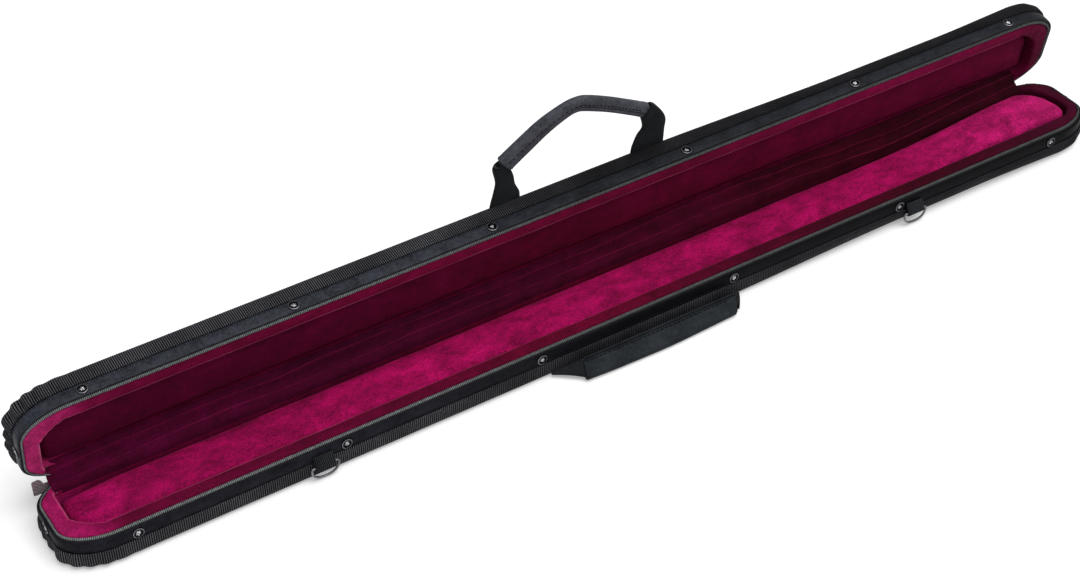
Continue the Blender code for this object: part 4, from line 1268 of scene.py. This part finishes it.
def grip(name, points, over, look, seam, stitch_at, shears=(0.0, 0.0)):
    """A folded leatherette grip along a curve: its flap stands a little proud, with a stitched edge.

    Points are (place, half width). The seam and the stitches are given as shares of the half width, and the shears
    say how much further along its far edge reaches than its middle, at the start and at the end."""
    half_thick = grip_thickness / 2
    shape = [(-1.0, 0.0), (-0.985, 0.4), (-0.93, 0.75), (-0.8, 0.97), (-0.6, 1.02)]
    shape += [(share, 1.04) for share in (-0.3, 0.0, 0.3) if share < seam - 0.16]
    shape += [(seam - 0.14, 1.0), (seam - 0.07, 0.66), (seam + 0.02, 0.62), (seam + 0.07, 1.22), (seam + 0.14, 1.28)]
    shape += [(share, 1.2) for share in (-0.1, 0.1, 0.3, 0.5, 0.7) if share > seam + 0.16]
    shape += [
        (0.86, 1.02), (0.95, 0.75), (0.99, 0.4), (1.0, 0.0), (0.985, -0.45), (0.92, -0.8), (0.78, -1.0), (0.4, -1.02),
        (0.0, -1.02), (-0.4, -1.02), (-0.78, -1.0), (-0.92, -0.8), (-0.985, -0.45),
    ]
    rows, places = [], []
    line = [centre for centre, _ in points]
    lengths = lengths_along(line)
    for place, (centre, half_width) in enumerate(points):
        ahead = ahead_at(line, place).normalized()
        across = over.cross(ahead).normalized()
        end = min(lengths[place], lengths[-1] - lengths[place])
        drawn = 0.86 + 0.14 * smooth(end, 0.0, 1.0 * MM)
        hem = 1 + 0.1 * (1 - smooth(lengths[place], 1.6 * MM, 2.2 * MM))
        share = lengths[place] / lengths[-1]
        slant = (shears[0] + (shears[1] - shears[0]) * share) * MM
        row = []
        for side, lift in shape:
            lump = 0.2 * MM * uneven(*centre * 60 + Vector((side * 2, lift, 0)))
            row.append(
                centre + across * (side * half_width * drawn) + ahead * (side * slant)
                + over * (lift * half_thick * drawn * hem + lump * lift)
            )
        rows.append(row)
    piece = build(name, rows, look, along=lengths, sharp=45)
    distance = 4.0 * MM
    lift = 1.23 if stitch_at > seam else 1.06
    while distance < lengths[-1] - 4.0 * MM:
        place = max(bisect.bisect_right(lengths, distance) - 1, 0)
        share = (distance - lengths[place]) / (lengths[place + 1] - lengths[place])
        centre = line[place].lerp(line[place + 1], share)
        ahead = (line[place + 1] - line[place]).normalized()
        across = over.cross(ahead).normalized()
        places.append((centre + across * (stitch_at * points[place][1]) + over * (lift * half_thick), ahead, over))
        distance += grip_stitch_pitch
    row = stitches(name + "_stitches", places, looks["dark_thread"], *grip_stitch)
    return piece, row


def strap(name, stations, crease=0.0):
    """A ribbed webbing strap through stations: middle, across, over, half width and half thickness."""
    fine = through([(*c, *a, *o, w, t) for c, a, o, w, t in stations], 24)
    evened = [fine[0]]
    lengths = [0.0]
    for station in fine[1:]:
        gap = (Vector(station[:3]) - Vector(evened[-1][:3])).length
        if gap >= strap_pitch / 4.5:
            lengths.append(lengths[-1] + gap)
            evened.append(station)
    shape = [(-1, 0), (-0.97, 0.7), *[(side, 1) for side in (-0.9, -0.6, -0.3, 0, 0.3, 0.6, 0.9)], (0.97, 0.7)]
    shape += [(1, 0), (0.97, -0.7), *[(side, -1) for side in (0.9, 0.45, 0, -0.45, -0.9)], (-0.97, -0.7)]
    rows = []
    for station, length in zip(evened, lengths):
        centre, across, over = (Vector(station[start:start + 3]) for start in (0, 3, 6))
        across.normalize()
        over.normalize()
        rib = wave(length, strap_pitch)
        share = length / lengths[-1]
        row = []
        for side, lift in shape:
            sunk = crease * math.exp(-((side - 0.9 + 1.5 * share) / 0.22) ** 2) if lift > 0 else 0.0
            thick = station[10] + strap_rib_height * (rib - 1) - sunk
            row.append(centre + across * (side * station[9]) + over * (lift * thick))
        rows.append(row)
    return build(name, rows, looks["strap"], along=lengths, sharp=60)


def make_lid_handle():
    """The lid's handle, standing out from its front wall: a bent stitched grip between two folded straps.

    The line is (place along, out, half width), and a path adds the thickness, all in millimetres."""
    line = (
        (-60.0, 35.2, 7.9), (-45.5, 46.8, 7.7), (-31.5, 57.1, 7.2), (-18.0, 63.6, 6.4), (-9.0, 65.1, 5.8),
        (-1.5, 63.1, 5.6), (14.6, 55.1, 5.4), (31.0, 45.6, 5.3), (46.5, 36.1, 5.4),
    )

    def place(x, out):
        return lid_half.at(x * MM, webbing_front - out * MM, lid_handle_depth)

    over = lid_half.turn.to_3x3() @ Vector((0, 0, -1))
    points = [(place(x, out), width * MM) for x, out, width in through(line, 10)]
    piece, row = grip("lid_leatherette_grip", points, over, looks["lid_grip"], -0.24, 0.06)
    settle(piece, "lid_handle", "handle_grip", "lid_handle_grip")
    settle(row, "lid_handle", "handle_grip")
    for word, end, inner, turned_width, path in (
        ("left", line[0], line[1], 5.7,
         [(-56.6, -2.5, 11.6, 0.9), (-56.8, 4.0, 10.8, 0.9), (-58.0, 13.0, 8.0, 1.1), (-58.8, 22.0, 6.5, 1.5)]),
        ("right", line[-1], line[-2], 6.2,
         [(53.4, -2.5, 13.2, 0.9), (53.4, 4.0, 12.9, 0.9), (54.4, 13.0, 11.2, 1.1), (55.4, 22.0, 8.8, 1.5)]),
    ):
        away = Vector((end[0] - inner[0], end[1] - inner[1])).normalized()
        path.append((end[0] + away.x * 2.9, end[1] + away.y * 2.6, turned_width, 1.9))
        path.append((end[0] + away.x * 0.2, end[1] + away.y * 0.2, 5.0, 1.9))
        spots = [place(x, out) for x, out, _, _ in path]
        stations = []
        for number, (spot, (_, _, width, thickness)) in enumerate(zip(spots, path)):
            across = over.cross(ahead_at(spots, number)).normalized()
            stations.append((spot, across, over, width * MM, thickness * MM))
        made = strap(f"lid_webbing_strap_{word}", stations, 0.9 * MM)
        settle(made, None, "handle_strap", f"lid_handle_strap_{word}")
        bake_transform(made)


def folded_end(name, tip, root, run):
    """A strap folded over the grip's end: a triangle from the inner edge's root, its ribs along the grip's end."""
    stations = []
    for share in evenly(0.0, 1.0, 8):
        inner = tip.lerp(root, share)
        tilt = base_grip_tilt * share
        half = (1.2 * MM + (run - 1.2 * MM) * share) / 2
        across = Vector((0.16 * share, math.cos(tilt), math.sin(tilt))).normalized()
        over = Vector((0, -math.sin(tilt), math.cos(tilt)))
        stations.append((inner - across * half, across, over, half, 0.7 * MM + 0.6 * MM * share))
    return strap(name, stations)


def make_base_handle():
    """The base's handle, folded on the table and leaning on the wall, its straps turned in at both ends."""
    front = webbing_front
    over = Vector((0, -math.sin(base_grip_tilt), math.cos(base_grip_tilt)))
    across = Vector((0, math.cos(base_grip_tilt), math.sin(base_grip_tilt)))
    left, right = base_grip_ends
    inner = Vector((0, front - base_grip_out, base_grip_height)) + across * (base_grip_width / 2)
    line = (
        (left + 1.2 * MM, 7.6), (left + 25 * MM, 8.1), (10 * MM, 8.4), (right - 30 * MM, 7.9), (right - 0.3 * MM, 7.3),
    )
    points = []
    for x, half_width in through(line, 12):
        sag = 0.2 * MM * uneven(x * 15, 3.0, 1.0)
        points.append((inner + Vector((x, sag, 0)) - across * (half_width * MM), half_width * MM))
    piece, row = grip("base_leatherette_grip", points, over, looks["base_grip"], 0.68, 0.46, (2.4, 3.4))
    settle(piece, "base_handle", "handle_grip", "base_handle_grip")
    settle(row, "base_handle", "handle_grip")

    for word, tip, root_x, run in (
        ("left", (left - 17.5 * MM, front - 0.2 * MM, 2.6 * MM), left + 3.6 * MM, 15.0 * MM),
        ("right", (right + 6.8 * MM, front - 2.6 * MM, 6.2 * MM), right + 1.2 * MM, 12.4 * MM),
    ):
        name = f"base_webbing_strap_{word}"
        made = folded_end(name, Vector(tip), inner + Vector((root_x, 0.1 * MM, -0.1 * MM)), run)
        if word == "right":
            under = [
                (Vector((right - 6 * MM, y * MM, z * MM)), Vector((1, 0, 0)), Vector((0, 0, 1)), 7.2 * MM, 0.5 * MM)
                for y, z in ((-32.4, 3.4), (-34.0, 2.2), (-37.0, 1.3), (-41.0, 1.0), (-45.0, 1.2))
            ]
            made = merged(name, [made, strap("under_layer", under)], looks["strap"])
        settle(made, None, "handle_strap", f"base_handle_strap_{word}")
        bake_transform(made)


def make_rings():
    """The D-rings' wire and the webbing tabs they hang in."""
    section = (
        (0.0, 17.2), (-0.9, 17.0), (-1.35, 15.2), (-2.2, 13.4), (-3.6, 12.2), (-4.35, 11.0), (-4.5, 10.0),
        (-4.1, 8.9), (-3.2, 8.2), (-2.2, 8.1), (-1.2, 8.5), (-0.5, 9.6), (-0.35, 11.5), (0.0, 13.0),
    )
    side = [(9.0, 10.1), (9.2, 8.6), (8.9, 6.4), (7.8, 4.2), (5.6, 2.5), (3.0, 1.75)]
    bend = [(-across, height) for across, height in side] + [(0.0, 1.55)] + side[::-1]
    bend += [(6.0, 10.35), (0.0, 10.4), (-6.0, 10.35)]
    bend = through([*bend, bend[0]], 5)[:-1]
    for word, x in zip(("left", "right"), ring_places):
        rows = []
        for share in (-1.0, -0.97, -0.5, 0.0, 0.5, 0.97, 1.0):
            drawn = 0.88 if abs(share) == 1.0 else 1.0
            row = []
            for away, height in section:
                away, height = away * drawn, 12.0 + (height - 12.0) * drawn
                row.append(Vector((x + share * ring_tab_half_width, webbing_front + away * MM, height * MM)))
            rows.append(row)
        tab = build(f"ring_webbing_tab_{word}", rows, looks["strap"], sharp=60)
        settle(tab, "base", "handle_strap", f"d_ring_tab_{word}")

        rows = []
        for place, (across, height) in enumerate(bend):
            after, before = bend[(place + 1) % len(bend)], bend[place - 1]
            outward = Vector((after[1] - before[1], 0, before[0] - after[0])).normalized()
            row = []
            for corner in range(wire_sides):
                angle = 2 * math.pi * corner / wire_sides
                centre = Vector((x + across * MM, ring_depth, height * MM))
                row.append(centre + (outward * math.cos(angle) + Vector((0, math.sin(angle), 0))) * ring_wire_radius)
            rows.append(row)
        wire = build(f"ring_wire_{word}", rows, looks["dull_nickel"], ring=True, sharp=70)
        settle(wire, f"ring_{word}", "ring_metal", f"d_ring_{word}")


def make_end_tabs():
    """The sewn ends of the zip tape: one stands free at the hinge's left end, and the slider parks on the other.

    Corners are (place along, lower edge, upper edge) in millimetres: from the middle of the case for the left end,
    and from its own middle for the right one."""
    section = ((0.0, 0.3), (0.06, 0.42), (0.35, 0.45), (0.65, 0.45), (0.94, 0.42), (1.0, 0.3))
    section = [(share, half) for share, half in section] + [(share, -half) for share, half in section[::-1]]
    for word, along, out, corners in (
        ("left", Vector((1, 0, 0)), Vector((0, 1, 0)),
         ((-376.0, 14.5, 21.6), (-381.0, 14.5, 21.6), (-386.6, 14.5, 21.7), (-388.0, 14.5, 24.8),
          (-389.4, 14.6, 26.1), (-393.0, 14.7, 26.0), (-393.9, 15.2, 25.2))),
        ("right", zip_tail_along, zip_tail_out,
         ((-4.1, 9.1, 18.6), (-3.4, 8.8, 18.8), (0.0, 8.7, 17.4), (3.4, 8.8, 18.8), (4.1, 9.1, 18.6))),
    ):
        low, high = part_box(f"zip_end_tab_{word}")
        root = Vector(((low.x + high.x) / 2 if word == "right" else 0.0, (low.y + high.y) / 2, 0))
        rows = []
        for across, bottom, top in corners:
            spot = root + along * (across * MM)
            row = []
            for share, away in section:
                row.append(spot + out * (away * MM) + Vector((0, 0, (bottom + (top - bottom) * share) * MM)))
            rows.append(row)
        tab = build(f"zip_tape_end_{word}", rows, looks["tab"], sharp=50)
        settle(tab, "base", "zip_tape", f"zip_end_tab_{word}")


make_hinge()
make_end_tabs()
make_flap()
make_lid_handle()
make_base_handle()
make_rings()

for node in ("zip_slider", "zip_pull"):
    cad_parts[node].material_slots[0].material = looks["gunmetal"]


# The room, the light and the camera

room_light = 0.38
floor_reach = 6.0
floor_gap = 0.25 * MM
suns = (("key", 2.1, 55, (0.25, -0.25, 1.0)), ("fill", 0.35, 80, (-0.5, -1.0, 0.45)))
camera_right = Vector((0.84749, -0.53055, -0.01665))
camera_up = Vector((0.34958, 0.53426, 0.76965))
camera_forward = Vector((0.39944, 0.65809, -0.63825))
camera_place = Vector((-0.61436, -0.91989, 0.93816))
sensor_width = 36.0
lens_length = 72.65


def make_room():
    """A plain white floor that keeps the shadow, soft light from above, and the photograph's view."""
    world = bpy.data.worlds.new("room")
    bpy.context.scene.world = world
    world.use_nodes = True
    backdrop = world.node_tree.nodes["Background"].inputs
    backdrop["Color"].default_value = (1.0, 1.0, 1.0, 1.0)
    backdrop["Strength"].default_value = room_light

    mesh = bmesh.new()
    corners = ((-1, -1), (1, -1), (1, 1), (-1, 1))
    mesh.faces.new([mesh.verts.new((x * floor_reach, y * floor_reach, -floor_gap)) for x, y in corners])
    floor = added("floor", mesh)
    look = Look("pale_floor", 0.8)
    look.shader.inputs["Base Color"].default_value = (0.82, 0.82, 0.82, 1.0)
    path = look.node("LightPath")
    seen = look.sum(path.outputs["Is Camera Ray"], path.outputs["Is Glossy Ray"], "MAXIMUM")
    glow = look.node("Emission", {"Color": (1.0, 1.0, 1.0, 1.0), "Strength": look.sum(seen, 0.3, "MULTIPLY")})
    both = look.node("AddShader", {0: look.shader.outputs["BSDF"], 1: glow.outputs["Emission"]})
    look.tree.links.new(both.outputs["Shader"], look.tree.nodes["Material Output"].inputs["Surface"])
    floor.data.materials.append(look.material)

    for name, energy, spread, toward in suns:
        sun = bpy.data.objects.new(name, bpy.data.lights.new(name, "SUN"))
        sun.data.energy = energy
        sun.data.angle = math.radians(spread)
        sun.rotation_euler = Vector(toward).to_track_quat("Z", "Y").to_euler()
        bpy.context.scene.collection.objects.link(sun)

    camera = bpy.data.objects.new("camera", bpy.data.cameras.new("camera"))
    bpy.context.scene.collection.objects.link(camera)
    turned = Matrix((camera_right, camera_up, -camera_forward)).transposed().to_4x4()
    turned.translation = camera_place
    camera.matrix_world = turned
    camera.data.sensor_width = sensor_width
    camera.data.lens = lens_length
    camera.data.clip_start = 0.05
    bpy.context.scene.camera = camera
    bpy.context.scene.view_settings.view_transform = "Standard"


make_room()
